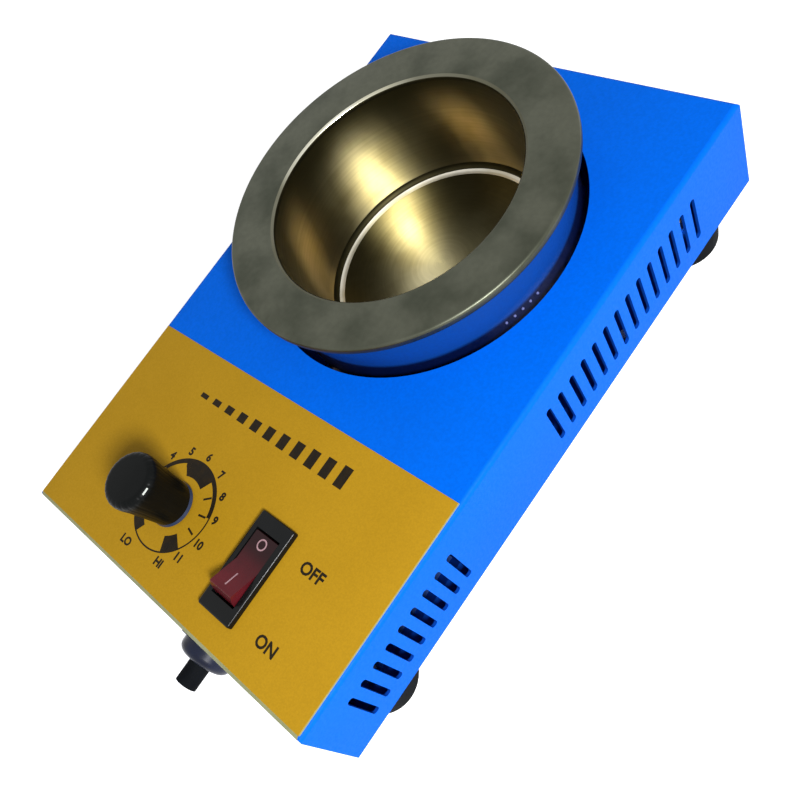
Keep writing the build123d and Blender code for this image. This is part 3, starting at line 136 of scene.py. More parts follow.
def remap(
    tree: Tree,
    value: Socket,
    source: tuple[Socket | float, Socket | float] = (0.0, 1.0),
    target: tuple[Socket | float, Socket | float] = (0.0, 1.0),
    smooth: bool = False,
) -> Socket:
    """Carry a value over from one range to another.

    Args:
        tree: The node tree.
        value: The value.
        source: The range that it comes from, and outside which it is held.
        target: The range that it goes to.
        smooth: Whether the change starts and ends softly.

    Returns:
        The socket that gives the new value.
    """
    names = ("Value", "From Min", "From Max", "To Min", "To Max")
    kind = "SMOOTHSTEP" if smooth else "LINEAR"
    inputs = dict(zip(names, (value, *source, *target)))
    return add_node(tree, "ShaderNodeMapRange", inputs, interpolation_type=kind).outputs[0]


def mix(tree: Tree, share: Socket | float, first: object, second: object, blend: str = "MIX") -> Socket:
    """Blend a second colour into a first one by a share."""
    inputs = {0: share, 6: first, 7: second}
    return add_node(tree, "ShaderNodeMix", inputs, data_type="RGBA", blend_type=blend).outputs[2]


def noise(tree: Tree, place: Socket, size: float, detail: float, distortion: float = 0.0) -> Socket:
    """Make a noise whose patches have a size in millimetres."""
    inputs = {"Vector": place, "Scale": 1 / (size * MM), "Detail": detail, "Distortion": distortion}
    return add_node(tree, "ShaderNodeTexNoise", inputs).outputs[0]


def bare_tree(owner: bpy.types.Material | bpy.types.World) -> Tree:
    """Give the node tree of a material or a world, emptied."""
    owner.use_nodes = True
    owner.node_tree.nodes.clear()
    return owner.node_tree


class Grain(Enum):
    """How the fine relief of a surface runs."""

    PEEL = "orange peel of a stoved coating"
    STIPPLE = "fine stipple of a moulded, cast or oxidised skin"
    TURNED = "rings left by spinning or turning"
    DRAWN = "lines along drawn or rolled stock"
    FIBRES = "matted fibres"


@dataclass(frozen=True)
class Finish:
    """A surface finish: its colours, its gloss, and the relief of how it was made.

    Lengths are in millimetres: drift is the size of the colour patches, grain_size the
    spacing of the relief, and relief its height.
    """

    name: str
    colour: str
    drift_colour: str
    roughness: float
    metallic: float = 0.0
    ior: float = 1.5
    specular: float = 0.5
    coat: float = 0.0
    coat_roughness: float = 0.1
    anisotropy: float = 0.0
    transmission: float = 0.0
    drift: float = 18.0
    drift_share: float = 0.5
    grain: Grain = Grain.PEEL
    grain_size: float = 0.6
    relief: float = 0.01
    gloss_spread: float = 0.06
    axis: tuple[float, float] = (0.0, 0.0)

    def place(self, tree: Tree) -> Socket:
        """Give the object's own coordinates, centred on the finish's axis."""
        own = add_node(tree, "ShaderNodeTexCoord").outputs["Object"]
        shift = (-self.axis[0] * MM, -self.axis[1] * MM, 0.0)
        return add_node(tree, "ShaderNodeMapping", {"Vector": own, "Location": shift}).outputs[0]

    def relief_height(self, tree: Tree, place: Socket) -> Socket:
        """Make the height of the fine relief from 0 to 1.

        Args:
            tree: The material's node tree.
            place: The coordinates to use.

        Returns:
            The socket that gives the height.
        """
        if self.grain is Grain.TURNED:
            parts = split(tree, place)
            radius = vector_calc(tree, "LENGTH", combine(tree, parts["X"], parts["Y"]))
            along = calc(tree, "ADD", radius, parts["Z"])
            inputs = {"W": along, "Scale": 1 / (self.grain_size * MM), "Detail": 2.0}
            return add_node(tree, "ShaderNodeTexNoise", inputs, noise_dimensions="1D").outputs[0]
        stretch = DRAWN_STRETCH if self.grain is Grain.DRAWN else (1.0, 1.0, 1.0)
        stretched = add_node(tree, "ShaderNodeMapping", {"Vector": place, "Scale": stretch})
        detail, distortion = {
            Grain.PEEL: (1.0, 0.0),
            Grain.STIPPLE: (3.0, 0.0),
            Grain.DRAWN: (3.0, 0.0),
            Grain.FIBRES: (5.0, 2.5),
        }[self.grain]
        return noise(tree, stretched.outputs[0], self.grain_size, detail, distortion)

    def tint(self, tree: Tree, place: Socket, height: Socket) -> Socket:
        """Make the base colour: the main colour drifts towards the second in soft patches.

        Args:
            tree: The material's node tree.
            place: The coordinates to use.
            height: The relief, which darkens the colour slightly in its hollows with painted shade, and
                lightens its crests with painted light.

        Returns:
            The socket that gives the colour.
        """
        patches = noise(tree, place, self.drift, 3.0)
        share = remap(tree, patches, PATCH_RANGE, (0.0, self.drift_share), smooth=True)
        drifted = mix(tree, share, linear(self.colour), linear(self.drift_colour))
        return mix(tree, 1.0, drifted, remap(tree, height, RELIEF_RANGE, RELIEF_SHADE), "MULTIPLY")

    def material(self) -> bpy.types.Material:
        """Build the material once, and return it."""
        made = bpy.data.materials.get(self.name)
        if made is not None:
            return made
        made = bpy.data.materials.new(self.name)
        tree = bare_tree(made)
        place = self.place(tree)
        height = self.relief_height(tree, place)
        dull, glossy = self.roughness + self.gloss_spread, self.roughness - self.gloss_spread
        relief = {"Height": height, "Distance": self.relief * MM, "Strength": 1.0}
        inputs = {
            "Base Color": self.tint(tree, place, height),
            "Roughness": remap(tree, height, RELIEF_RANGE, (dull, glossy)),
            "Metallic": self.metallic,
            "IOR": self.ior,
            "Specular IOR Level": self.specular,
            "Coat Weight": self.coat,
            "Coat Roughness": self.coat_roughness,
            "Transmission Weight": self.transmission,
            "Normal": add_node(tree, "ShaderNodeBump", relief).outputs[0],
        }
        if self.anisotropy:
            tangent = add_node(tree, "ShaderNodeTangent", direction_type="RADIAL", axis="Z")
            inputs |= {
                "Anisotropic": self.anisotropy,
                "Anisotropic Rotation": 0.25,
                "Tangent": tangent.outputs[0],
            }
        shader = add_node(tree, "ShaderNodeBsdfPrincipled", inputs)
        add_node(tree, "ShaderNodeOutputMaterial", {"Surface": shader.outputs[0]})
        return made


@dataclass(frozen=True)
class Moulded(Finish):
    """The fine stipple of a moulded plastic or rubber part."""

    grain: Grain = Grain.STIPPLE


@dataclass(frozen=True)
class Metal(Finish):
    """A bare or plated metal."""

    metallic: float = 1.0


@dataclass(frozen=True)
class SpunSteel(Metal):
    """Steel spun round the crucible's axis, with faint rings."""

    grain: Grain = Grain.TURNED
    grain_size: float = 1.2
    relief: float = 0.0003
    axis: tuple[float, float] = POT_AXIS


@dataclass(frozen=True)
class GradedFinish(Finish):
    """A finish that turns to another colour along one axis of the object.

    The change starts at grade_from and is complete at grade_to, in millimetres.
    """

    grade_colour: str = "#000000"
    grade_along: str = "Z"
    grade_from: float = 0.0
    grade_to: float = 1.0

    def tint(self, tree: Tree, place: Socket, height: Socket) -> Socket:
        """Make the base colour, then turn it towards the second one along the axis."""
        along = split(tree, place)[self.grade_along]
        share = remap(tree, along, metres(self.grade_from, self.grade_to), smooth=True)
        return mix(tree, share, super().tint(tree, place, height), linear(self.grade_colour))


@dataclass(frozen=True)
class LinedFinish(Finish):
    """A finish for a sheet's outer face, with the case's blue lining on its inner face.

    The lining shows wherever the sheet lies in the box between low and high, in millimetres.
    """

    lining: str = "#0640A8"
    low: Point = (-1.0, -1.0, -1.0)
    high: Point = (1.0, 1.0, 1.0)

    def tint(self, tree: Tree, place: Socket, height: Socket) -> Socket:
        """Make the base colour, and the lining's wherever a point lies inside the box."""
        parts, share = split(tree, place), None
        for axis, low, high in zip("XYZ", self.low, self.high):
            within = calc(tree, "COMPARE", parts[axis], *metres((low + high) / 2, (high - low) / 2))
            share = within if share is None else calc(tree, "MULTIPLY", share, within)
        return mix(tree, share, super().tint(tree, place, height), linear(self.lining))


class TintRun(Enum):
    """How heat tints and painted highlights lie on a turned part."""

    ROUND = "sectors by bearing round the axis"
    ACROSS = "stripes beside a line over the face"


@dataclass(frozen=True)
class HeatTintAndPaintedLightSteel(SpunSteel):
    """Spun steel whose heat tint and painted highlights change round its axis or across its face.

    Each tint is a share from 0 to 1 and the colour there, the same to both sides; the tints paint
    highlights and reflections, with heat tint, onto the steel. ROUND counts the share as half turns from
    the paler side, the painted highlight, at front_bearing, and spreads the tints by spread_share more
    from the top to the foot. ACROSS counts it in stripe_reach from a line along front_bearing,
    stripe_offset off the axis. From burnt_from up to painted_shade_to the metal turns to the painted
    shade colour. Lengths are in millimetres.
    """

    run: TintRun = TintRun.ROUND
    tints: tuple[tuple[float, str], ...] = ()
    front_bearing: float = 158.0
    stripe_offset: float = 0.0
    stripe_reach: float = 38.0
    spread_top: float = 56.0
    spread_share: float = 0.35
    spread_height: float = 28.0
    waver: float = 0.02
    burnt: str = "#3A3420"
    burnt_from: float = 70.0
    painted_shade_to: float = 80.0

    def share_run(self, tree: Tree, parts: bpy.types.bpy_prop_collection) -> Socket:
        """Count the share of the tints, from the coordinates turned to the front bearing."""
        if self.run is TintRun.ACROSS:
            offset = -self.stripe_offset / self.stripe_reach
            return calc(tree, "MULTIPLY_ADD", parts["Y"], 1 / (self.stripe_reach * MM), offset)
        bearing = calc(tree, "ARCTAN2", parts["Y"], parts["X"])
        heights = metres(self.spread_top, self.spread_top - self.spread_height)
        half_turn = remap(tree, parts["Z"], heights, (math.pi, math.pi * (1 + self.spread_share)))
        return calc(tree, "DIVIDE", bearing, half_turn)

    def tint(self, tree: Tree, place: Socket, height: Socket) -> Socket:
        """Make the plain colour, lay the tints with their painted highlights over it with wavering
        borders, and darken it with painted shade.
        """
        turn = (0.0, 0.0, math.radians(-self.front_bearing))
        turned = add_node(tree, "ShaderNodeMapping", {"Vector": place, "Rotation": turn})
        parts = split(tree, turned.outputs[0])
        shift = remap(tree, noise(tree, place, self.drift, 2.0), target=(-self.waver, self.waver))
        run = calc(tree, "ABSOLUTE", calc(tree, "ADD", self.share_run(tree, parts), shift))
        ramp = add_node(tree, "ShaderNodeValToRGB", {0: run})
        ramp.color_ramp.interpolation = "B_SPLINE"
        stops = ramp.color_ramp.elements
        for index, (share, colour) in enumerate(self.tints):
            stop = stops[index] if index < 2 else stops.new(share)
            stop.position, stop.color = share, linear(colour)
        tinted = mix(tree, 1.0, ramp.outputs[0], super().tint(tree, place, height), "MULTIPLY")
        shading = remap(tree, parts["Z"], metres(self.burnt_from, self.painted_shade_to), smooth=True)
        return mix(tree, shading, tinted, linear(self.burnt))


# Stoved powder coat on folded sheet steel: a strong blue with a slight orange peel and soft gloss
CASE_PAINT = LinedFinish(
    "powder_coated_steel", "#0069EA", "#0263DE", 0.48, specular=0.05, drift=45.0, grain_size=0.9,
    low=(-67.42, -92.55, 9.0), high=(67.42, 108.55, 39.95),
)
# The same coat on the round jacket, turning navy at its foot: painted shade where it sinks into the gap
# under the top plate
JACKET_PAINT = GradedFinish(
    "jacket_coat_painted_shade", "#0B4292", "#0B3C88", 0.34, drift=30.0, grain_size=0.9, relief=0.006,
    # grade_colour is painted shade: the jacket darkens to navy in the gap under the top plate
    grade_colour="#020E38", grade_from=43.0, grade_to=41.2,
)
# Pale specks in the gap at the foot of the jacket: painted highlights, small pale balls that stand for
# points of light there
GAP_GLINT_SPECK = Finish("gap_speck_painted_glint", "#6C74AC", "#5A62A0", 0.6, drift=1.0, grain_size=0.3, relief=0.003)
# Screen-printed polyester film: flat golden yellow with a faint satin grain
PANEL_FILM = Finish(
    "printed_polyester_film", "#B68C1C", "#AE8518", 0.5, specular=0.1, drift=30.0,
    grain_size=0.5, relief=0.003,
)
# Screen ink: a matt black that takes a little of the yellow under it at thin places
PANEL_INK = Finish(
    "screen_ink", "#171107", "#2A1E08", 0.6, specular=0.15, drift=2.0, grain_size=0.3, relief=0.004
)
# The film's edges that turn over the bends, pale grey: a painted highlight along the bends
FILM_EDGE = Finish(
    "film_edge_painted_highlight", "#9C9E74", "#86885E", 0.5, specular=0.3, drift=8.0, relief=0.003
)
# Stainless steel oxidised by heat: dull olive grey with soft cloudy patches
RIM_STEEL = Metal(
    "heat_dulled_stainless", "#5B5D51", "#46493E", 0.4, drift=17.0, drift_share=1.0,
    grain=Grain.STIPPLE, grain_size=1.8, relief=0.004, gloss_spread=0.03,
)
# The mouth's rounded lip: a painted highlight, bright on the far side, and dull with oxide elsewhere
LIP_HIGHLIGHT_STEEL = HeatTintAndPaintedLightSteel(
    "lip_steel_painted_highlight", "#FFFFFF", "#E8E6DC", 0.24, drift=14.0, drift_share=0.9, grain_size=0.8,
    tints=((0.0, "#F4F2E4"), (0.14, "#D8D6C4"), (0.24, "#605F4E"), (1.0, "#46473A")),
    front_bearing=160.0,
)
# The ring of black oxide that forms just under the mouth; the same dark steel paints a shade line at the
# foot of the wall, above the corner
OXIDE_AND_SHADE_STEEL = SpunSteel(
    "oxide_and_painted_shade_ring", "#2C2A1C", "#3A3420", 0.45, drift=9.0, grain_size=0.7, relief=0.002
)
# Spun stainless wall, tinted straw to dark bronze by bearing with painted highlights and reflections: a
# straw hot spot and amber streaks, and painted shade darkening its top
WALL_STEEL = HeatTintAndPaintedLightSteel(
    "spun_steel_painted_highlights", "#FFFFFF", "#DEDACE", 0.43, anisotropy=0.3, drift=15.0,
    drift_share=0.8, gloss_spread=0.02,
    tints=(
        (0.0, "#F0E8C2"), (0.055, "#DCD2A8"), (0.1, "#5E5942"), (0.195, "#48422D"),
        (0.24, "#DCC48C"), (0.3, "#E6CE98"), (0.36, "#665C3E"), (0.56, "#5C563C"),
    ),
    burnt="#37331F", burnt_from=40.0, painted_shade_to=60.5,
)
# The well's spun floor, olive bronze with one paler stripe, a painted highlight
FLOOR_STEEL = HeatTintAndPaintedLightSteel(
    "spun_floor_painted_highlight", "#FFFFFF", "#DEDACE", 0.34, anisotropy=0.25, drift=15.0,
    drift_share=0.8, gloss_spread=0.02, run=TintRun.ACROSS, front_bearing=144.0, stripe_offset=6.2,
    tints=(
        (0.0, "#D4CCAA"), (0.13, "#C4BC98"), (0.3, "#6A654C"), (0.5, "#4C4834"), (1.0, "#48442F"),
    ),
)
# The well's corner, pale: a painted highlight along the fillet
CORNER_STEEL = SpunSteel(
    "spun_corner_painted_highlight", "#FAF6EA", "#D6D0BC", 0.42, anisotropy=0.3, drift=12.0, drift_share=0.9
)
# Moulded ABS knob: deep black with a soft sheen
KNOB_PLASTIC = Moulded(
    "moulded_knob_plastic", "#080A0A", "#0C0E0E", 0.36, ior=1.53, specular=0.08, drift=6.0,
    grain_size=0.5, relief=0.004,
)
# The knob's skirt, tinted bluish: a painted reflection of the gleam along its foot
KNOB_SKIRT = Finish(
    "knob_skirt_painted_sheen", "#2C3C5C", "#26344E", 0.22, ior=1.53, drift=5.0, relief=0.002
)
# Polished nylon of the switch housing: black with a clean gloss on its rounded rim
SWITCH_PLASTIC = Moulded(
    "polished_nylon", "#0A0C0D", "#0F1112", 0.25, ior=1.53, specular=0.16, drift=8.0, relief=0.003
)
# Tinted clear polycarbonate of the rocker: deep red in front, turning nearly black towards the sunk rear
# half, a painted shade
ROCKER_PLASTIC = GradedFinish(
    "rocker_polycarbonate_painted_shade", "#5E161F", "#480E16", 0.2, ior=1.58, specular=0.16, drift=7.0,
    grain=Grain.STIPPLE, grain_size=0.8, relief=0.0006,
    # grade_colour darkens the rear half: painted shade
    grade_colour="#240A0E", grade_along="Y", grade_from=-74.0, grade_to=-62.0,
)
# Pad-printed marks on the rocker: white, dulled by the red round them
ROCKER_MARK = Finish(
    "pad_printed_white", "#B49096", "#A07C84", 0.5, specular=0.2, drift=2.0, relief=0.002
)
# White paint of the knob's mark, laid along the top edge where it also stands for a painted highlight
POINTER_PAINT = Finish("white_mark_painted_glint", "#C4CAC4", "#AEB4AE", 0.55, drift=1.5, relief=0.004)
# Vulcanised rubber: near black, matt, slightly dusty
RUBBER = Moulded(
    "vulcanised_rubber", "#0C0E11", "#121518", 0.75, ior=1.52, specular=0.05, drift=5.0,
    grain_size=0.4,
)
# Moulded nylon of the cable gland: black, tinted navy as a painted reflection of the blue case
GLAND_NYLON = Moulded(
    "moulded_nylon_painted_sheen", "#0A1024", "#101A34", 0.34, ior=1.53, specular=0.25, drift=5.0,
    grain_size=0.5, relief=0.004,
)
# Zinc-coated sheet: light grey with spangled patches
ZINC_SHEET = Metal(
    "zinc_coated_sheet", "#9A9DA0", "#83878B", 0.4, drift=9.0, drift_share=0.9,
    grain=Grain.DRAWN, grain_size=0.8, relief=0.004,
)
# Zinc-coated base plate, powder-coated blue on its inner face like the cover
LINED_ZINC = LinedFinish(
    "zinc_sheet_coated_inside", "#9A9DA0", "#83878B", 0.4, metallic=1.0, drift=9.0, drift_share=0.9,
    grain=Grain.DRAWN, grain_size=0.8, relief=0.004,
    low=(-70.0, -100.0, 8.5), high=(70.0, 120.0, 30.0),
)
# Bright zinc plating on screws, nuts and springs
BRIGHT_PLATE = Metal(
    "bright_zinc_plate", "#B4B6B8", "#A0A4A8", 0.28, drift=4.0, grain_size=0.4, relief=0.003
)
# Die-cast zinc: satin grey with a sandy skin
DIE_CAST = Metal(
    "die_cast_zinc_alloy", "#8C8E90", "#7E8082", 0.45, drift=4.0, grain=Grain.STIPPLE,
    grain_size=0.3, relief=0.006,
)
# Tinned brass strip: pale warm silver with rolling lines
TINNED_BRASS = Metal(
    "tinned_brass_strip", "#C0B48E", "#B2A478", 0.3, drift=4.0, grain=Grain.DRAWN,
    grain_size=0.3, relief=0.002,
)
# Extruded aluminium, bare, with die lines along its length
BARE_ALUMINIUM = Metal(
    "extruded_aluminium", "#A8AAAC", "#989A9C", 0.35, drift=6.0, grain=Grain.DRAWN,
    grain_size=0.4, relief=0.005,
)
# Stainless band of the heater, browned in use
BAND_STEEL = Metal(
    "browned_stainless_band", "#857A66", "#6A5C48", 0.38, drift=8.0, drift_share=0.9,
    grain=Grain.DRAWN, grain_size=0.5, relief=0.003,
)
# Ceramic fibre blanket: soft off-white with matted fibres
CERAMIC_FIBRE = Finish(
    "ceramic_fibre_felt", "#D8D2C2", "#C8BEA8", 0.9, specular=0.2, drift=6.0,
    grain=Grain.FIBRES, grain_size=1.2, relief=0.25,
)
# Brown-glazed steatite of the lead bush
STEATITE = Finish(
    "glazed_steatite", "#33241C", "#281C16", 0.3, specular=0.4, drift=4.0, relief=0.003
)
# Carbon film resistor lacquer, tan
TAN_LACQUER = Finish(
    "tan_lacquer", "#C2A272", "#AE8E60", 0.4, drift=2.0, grain_size=0.3, relief=0.006
)
# Glass-bodied diode: clear blue with a hard gloss
BLUE_GLASS = Finish(
    "blue_glass_body", "#3A6EA8", "#2C5A94", 0.12, ior=1.52, coat=0.3, drift=1.0,
    grain_size=0.4, relief=0.002,
)
# Neon lamp glass: half clear, with the electrodes' warm tone
LAMP_GLASS = Finish(
    "neon_lamp_glass", "#C89880", "#B88468", 0.08, transmission=0.5, drift=2.0,
    grain_size=0.5, relief=0.001,
)
# Pressed phenolic fibre board under the potentiometer track: brown and slightly fibrous
PHENOLIC = Finish(
    "pressed_phenolic", "#5E3A1E", "#4C2E16", 0.5, drift=3.0, grain=Grain.FIBRES,
    grain_size=0.5, relief=0.008,
)
# Paper laminate of the circuit board: tan, with the fibres just showing through
BOARD_LAMINATE = Finish(
    "paper_phenolic_laminate", "#B08654", "#9C7446", 0.4, drift=6.0, grain=Grain.FIBRES,
    grain_size=0.8, relief=0.006,
)
# Moulded body of the film capacitor: clear yellow
CAPACITOR_YELLOW = Finish(
    "moulded_capacitor_case", "#D8B420", "#CBA61A", 0.35, drift=4.0, grain_size=0.4, relief=0.004
)
# Green polyamide of the small terminal strip
TERMINAL_GREEN = Moulded(
    "polyamide_green", "#2E8A4A", "#267A40", 0.4, drift=4.0, grain_size=0.4, relief=0.005
)
# Natural polyamide of the potentiometer's rotor: warm white
TERMINAL_WHITE = Moulded(
    "polyamide_natural", "#E4E2D8", "#D8D5C8", 0.42, drift=5.0, grain_size=0.4, relief=0.005
)
# Blue-grey polyamide of the mains terminal strip
TERMINAL_BLUE = replace(
    TERMINAL_WHITE, name="polyamide_blue_grey", colour="#34486C", drift_colour="#2C3E5E"
)
# Epoxy body of the semiconductor: dull black
BLACK_EPOXY = Moulded(
    "black_epoxy", "#17181A", "#1F2022", 0.5, drift=2.0, grain_size=0.2, relief=0.005
)
# Soft PVC insulation of the leads on the mains side: brown with a dull extruded skin
LEAD_PVC = Finish(
    "extruded_pvc_brown", "#4A2E20", "#3E261A", 0.42, specular=0.4, drift=5.0,
    grain_size=0.5, relief=0.004,
)
# Thin grey PVC insulation of the potentiometer's leads
SIGNAL_PVC = replace(LEAD_PVC, name="extruded_pvc_grey", colour="#6E7276", drift_colour="#62666A")
# Green insulation of the earth lead with its yellow stripe, seen as patches along the lead
EARTH_PVC = replace(
    LEAD_PVC, name="green_and_yellow_pvc", colour="#2E8C3C", drift_colour="#D8CC2A",
    drift=2.5, drift_share=1.0,
)
# Woven glass sleeve on the heater's leads: dusty beige with the braid's fine rise and fall
GLASS_SLEEVE = Finish(
    "woven_glass_sleeve", "#8E8672", "#7A725E", 0.7, specular=0.3, drift=3.0,
    grain=Grain.FIBRES, grain_size=0.5, relief=0.05,
)


def tree_inputs(
    name: str, defaults: dict[str, object]
) -> tuple[bpy.types.GeometryNodeTree, bpy.types.bpy_prop_collection]:
    """Start a geometry tree with named inputs.

    Args:
        name: The tree's name.
        defaults: Input name to default value, which tells its type; None stands for a material.

    Returns:
        The tree and the sockets of its input node.
    """
    tree = bpy.data.node_groups.new(name, "GeometryNodeTree")
    for side in ("OUTPUT", "INPUT"):
        tree.interface.new_socket("Geometry", in_out=side, socket_type="NodeSocketGeometry")
    for label, default in defaults.items():
        kind = SOCKET_TYPES[type(default)]
        socket = tree.interface.new_socket(label, in_out="INPUT", socket_type=kind)
        if default is not None:
            socket.default_value = default
    return tree, tree.nodes.new("NodeGroupInput").outputs


def tree_end(tree: Tree, geometry: Socket, material: Socket) -> None:
    """End a geometry tree in Realize Instances and Set Material."""
    real = add_node(tree, "GeometryNodeRealizeInstances", {"Geometry": geometry})
    inputs = {"Geometry": real.outputs[0], "Material": material}
    dressed = add_node(tree, "GeometryNodeSetMaterial", inputs)
    add_node(tree, "NodeGroupOutput", {0: dressed.outputs[0]})


def grid(tree: Tree, *values: Socket | float) -> Socket:
    """Make a flat grid from its size and its count of vertices, along X and Y."""
    return add_node(tree, "GeometryNodeMeshGrid", dict(enumerate(values))).outputs[0]


def moved(tree: Tree, geometry: Socket, **inputs: Socket) -> Socket:
    """Set the Position of a geometry's points, or shift them by an Offset."""
    return add_node(tree, "GeometryNodeSetPosition", {"Geometry": geometry, **inputs}).outputs[0]


def instances(tree: Tree, spots: Socket, shape: Socket, **inputs: Socket) -> Socket:
    """Set a shape on every point, with the Rotation or Scale given for it."""
    inputs = {"Points": spots, "Instance": shape, **inputs}
    return add_node(tree, "GeometryNodeInstanceOnPoints", inputs).outputs[0]


def row_on_arc(tree: Tree, given: bpy.types.bpy_prop_collection) -> tuple[Socket, Socket]:
    """Set points at even angles on an arc, from the inputs Count to Centre.

    Args:
        tree: The tree.
        given: The sockets of its input node.

    Returns:
        The points, and the turn of each about the upright axis.
    """
    row = add_node(tree, "GeometryNodeMeshLine", {"Count": given["Count"]})
    number = add_node(tree, "GeometryNodeInputIndex").outputs[0]
    spin = combine(tree, z=calc(tree, "MULTIPLY_ADD", number, given["Step"], given["First Angle"]))
    inputs = {"Vector": combine(tree, given["Radius"]), "Rotation": spin}
    swung = add_node(tree, "ShaderNodeVectorRotate", inputs, rotation_type="EULER_XYZ")
    centred = vector_calc(tree, "ADD", swung.outputs[0], given["Centre"])
    return moved(tree, row.outputs[0], Position=centred), spin


def put(name: str, data: bpy.types.ID) -> bpy.types.Object:
    """Put data into the scene as an object."""
    made = bpy.data.objects.new(name, data)
    bpy.context.scene.collection.objects.link(made)
    return made


def plain_mesh(holder: bpy.types.Object) -> Mesh:
    """Take the finished shape of an object as a plain mesh, and remove the object."""
    bpy.context.view_layer.update()
    graph = bpy.context.evaluated_depsgraph_get()
    made = bpy.data.meshes.new_from_object(holder.evaluated_get(graph), depsgraph=graph)
    bpy.data.objects.remove(holder)
    return made


def bake(mesh: Mesh, tree: bpy.types.GeometryNodeTree, values: dict[str, object]) -> Mesh:
    """Run a geometry tree on a mesh and keep the result as a plain mesh.

    Args:
        mesh: What the tree starts from.
        tree: The geometry tree.
        values: Input name to value.

    Returns:
        The finished mesh.
    """
    holder = put("holder", mesh)
    modifier = holder.modifiers.new("shape", "NODES")
    modifier.node_group = tree
    for item in tree.interface.items_tree:
        if item.item_type == "SOCKET" and item.in_out == "INPUT" and item.name in values:
            modifier[item.identifier] = values[item.name]
    return plain_mesh(holder)


def settle(name: str, mesh: Mesh, body: str, sharp: float = 35.0) -> bpy.types.Object:
    """Make a finished mesh a piece of the object and report it.

    Args:
        name: The piece's name.
        mesh: Its mesh, in place, in metres.
        body: The body that it rides on.
        sharp: Edges that turn by more than this many degrees stay sharp.

    Returns:
        The piece.
    """
    mesh.name = name
    for polygon in mesh.polygons:
        polygon.use_smooth = True
    mesh.set_sharp_from_angle(angle=math.radians(sharp))
    piece = put(name, mesh)
    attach(piece, body)
    LOG.info("%s rides on %s: %d faces", name, body, len(mesh.polygons))
    return piece


def dress(finish: Finish, *nodes: str) -> None:
    """Give CAD nodes their finish."""
    for node in nodes:
        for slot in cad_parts[node].material_slots:
            slot.material = finish.material()
        LOG.info("%s is dressed in %s", node, finish.name)


def mesh_from(shape: bmesh.types.BMesh, name: str, finish: Finish | None = None) -> Mesh:
    """Turn a shape into a mesh, in its finish if one is given."""
    made = bpy.data.meshes.new(name)
    shape.to_mesh(made)
    shape.free()
    if finish is not None:
        made.materials.append(finish.material())
    return made


def joined(meshes: list[Mesh], finish: Finish) -> Mesh:
    """Join meshes into one that has a single finish."""
    whole = bmesh.new()
    for mesh in meshes:
        whole.from_mesh(mesh)
    made = mesh_from(whole, "joined", finish)
    for polygon in made.polygons:
        polygon.material_index = 0
    return made


def bridge(shape: bmesh.types.BMesh, first: list, second: list, closed: bool = False) -> None:
    """Lay four-sided faces between two rows of vertices, or between two closed rings."""
    for index in range(len(first) if closed else len(first) - 1):
        after = (index + 1) % len(first)
        shape.faces.new((first[index], second[index], second[after], first[after]))


def lathe(profile: list[tuple[float, float]], axis: Point, turns: int) -> Mesh:
    """Turn a profile about an upright axis.

    Args:
        profile: Radius and height pairs in millimetres, from the foot up.
        axis: A point on the axis, in millimetres, whose height is the profile's zero.
        turns: Steps round the axis.

    Returns:
        The turned mesh in metres, with its poles closed and its faces outwards.
    """
    shape = bmesh.new()
    corners = [
        shape.verts.new(metres(axis[0] + radius, axis[1], axis[2] + height))
        for radius, height in profile
    ]
    for pair in zip(corners, corners[1:]):
        shape.edges.new(pair)
    around = {"cent": Vector(axis) * MM, "axis": (0, 0, 1), "angle": math.tau, "steps": turns}
    bmesh.ops.spin(shape, geom=shape.verts[:] + shape.edges[:], **around)
    bmesh.ops.remove_doubles(shape, verts=shape.verts, dist=0.002 * MM)
    bmesh.ops.recalc_face_normals(shape, faces=shape.faces)
    return mesh_from(shape, "turned")


def rounded(corners: list[Point]) -> list[tuple[float, float]]:
    """Round the corners of a profile.

    Args:
        corners: Radius, height and rounding of each corner, in millimetres.

    Returns:
        Radius and height pairs.
    """
    made = []
    for index, (radius, height, rounding) in enumerate(corners):
        here = Vector((radius, height))
        if rounding == 0 or index in (0, len(corners) - 1):
            made.append((radius, height))
            continue
        back = (Vector(corners[index - 1][:2]) - here).normalized()
        ahead = (Vector(corners[index + 1][:2]) - here).normalized()
        half = back.angle(ahead) / 2
        reach = rounding / math.tan(half)
        centre = here + (back + ahead).normalized() * rounding / math.sin(half)
        start = here + back * reach - centre
        end = here + ahead * reach - centre
        for step in range(CURVE_STEPS + 1):
            arm = start.slerp(end, step / CURVE_STEPS) if start.angle(end) > 1e-4 else start
            made.append(tuple(centre + arm.normalized() * rounding))
    return made


@dataclass(frozen=True)
class Lamp:
    """A square lamp, aimed at a point; lengths in millimetres and power in watts."""

    name: str
    place: Point
    aim: Point
    size: float
    power: float

    def hang(self) -> None:
        """Put the lamp into the scene."""
        data = bpy.data.lights.new(self.name, "AREA")
        data.size = self.size * MM
        data.energy = self.power
        place = Vector(self.place) * MM
        turned = (Vector(self.aim) * MM - place).to_track_quat("-Z", "Y")
        put(self.name, data).matrix_world = Matrix.Translation(place) @ turned.to_matrix().to_4x4()


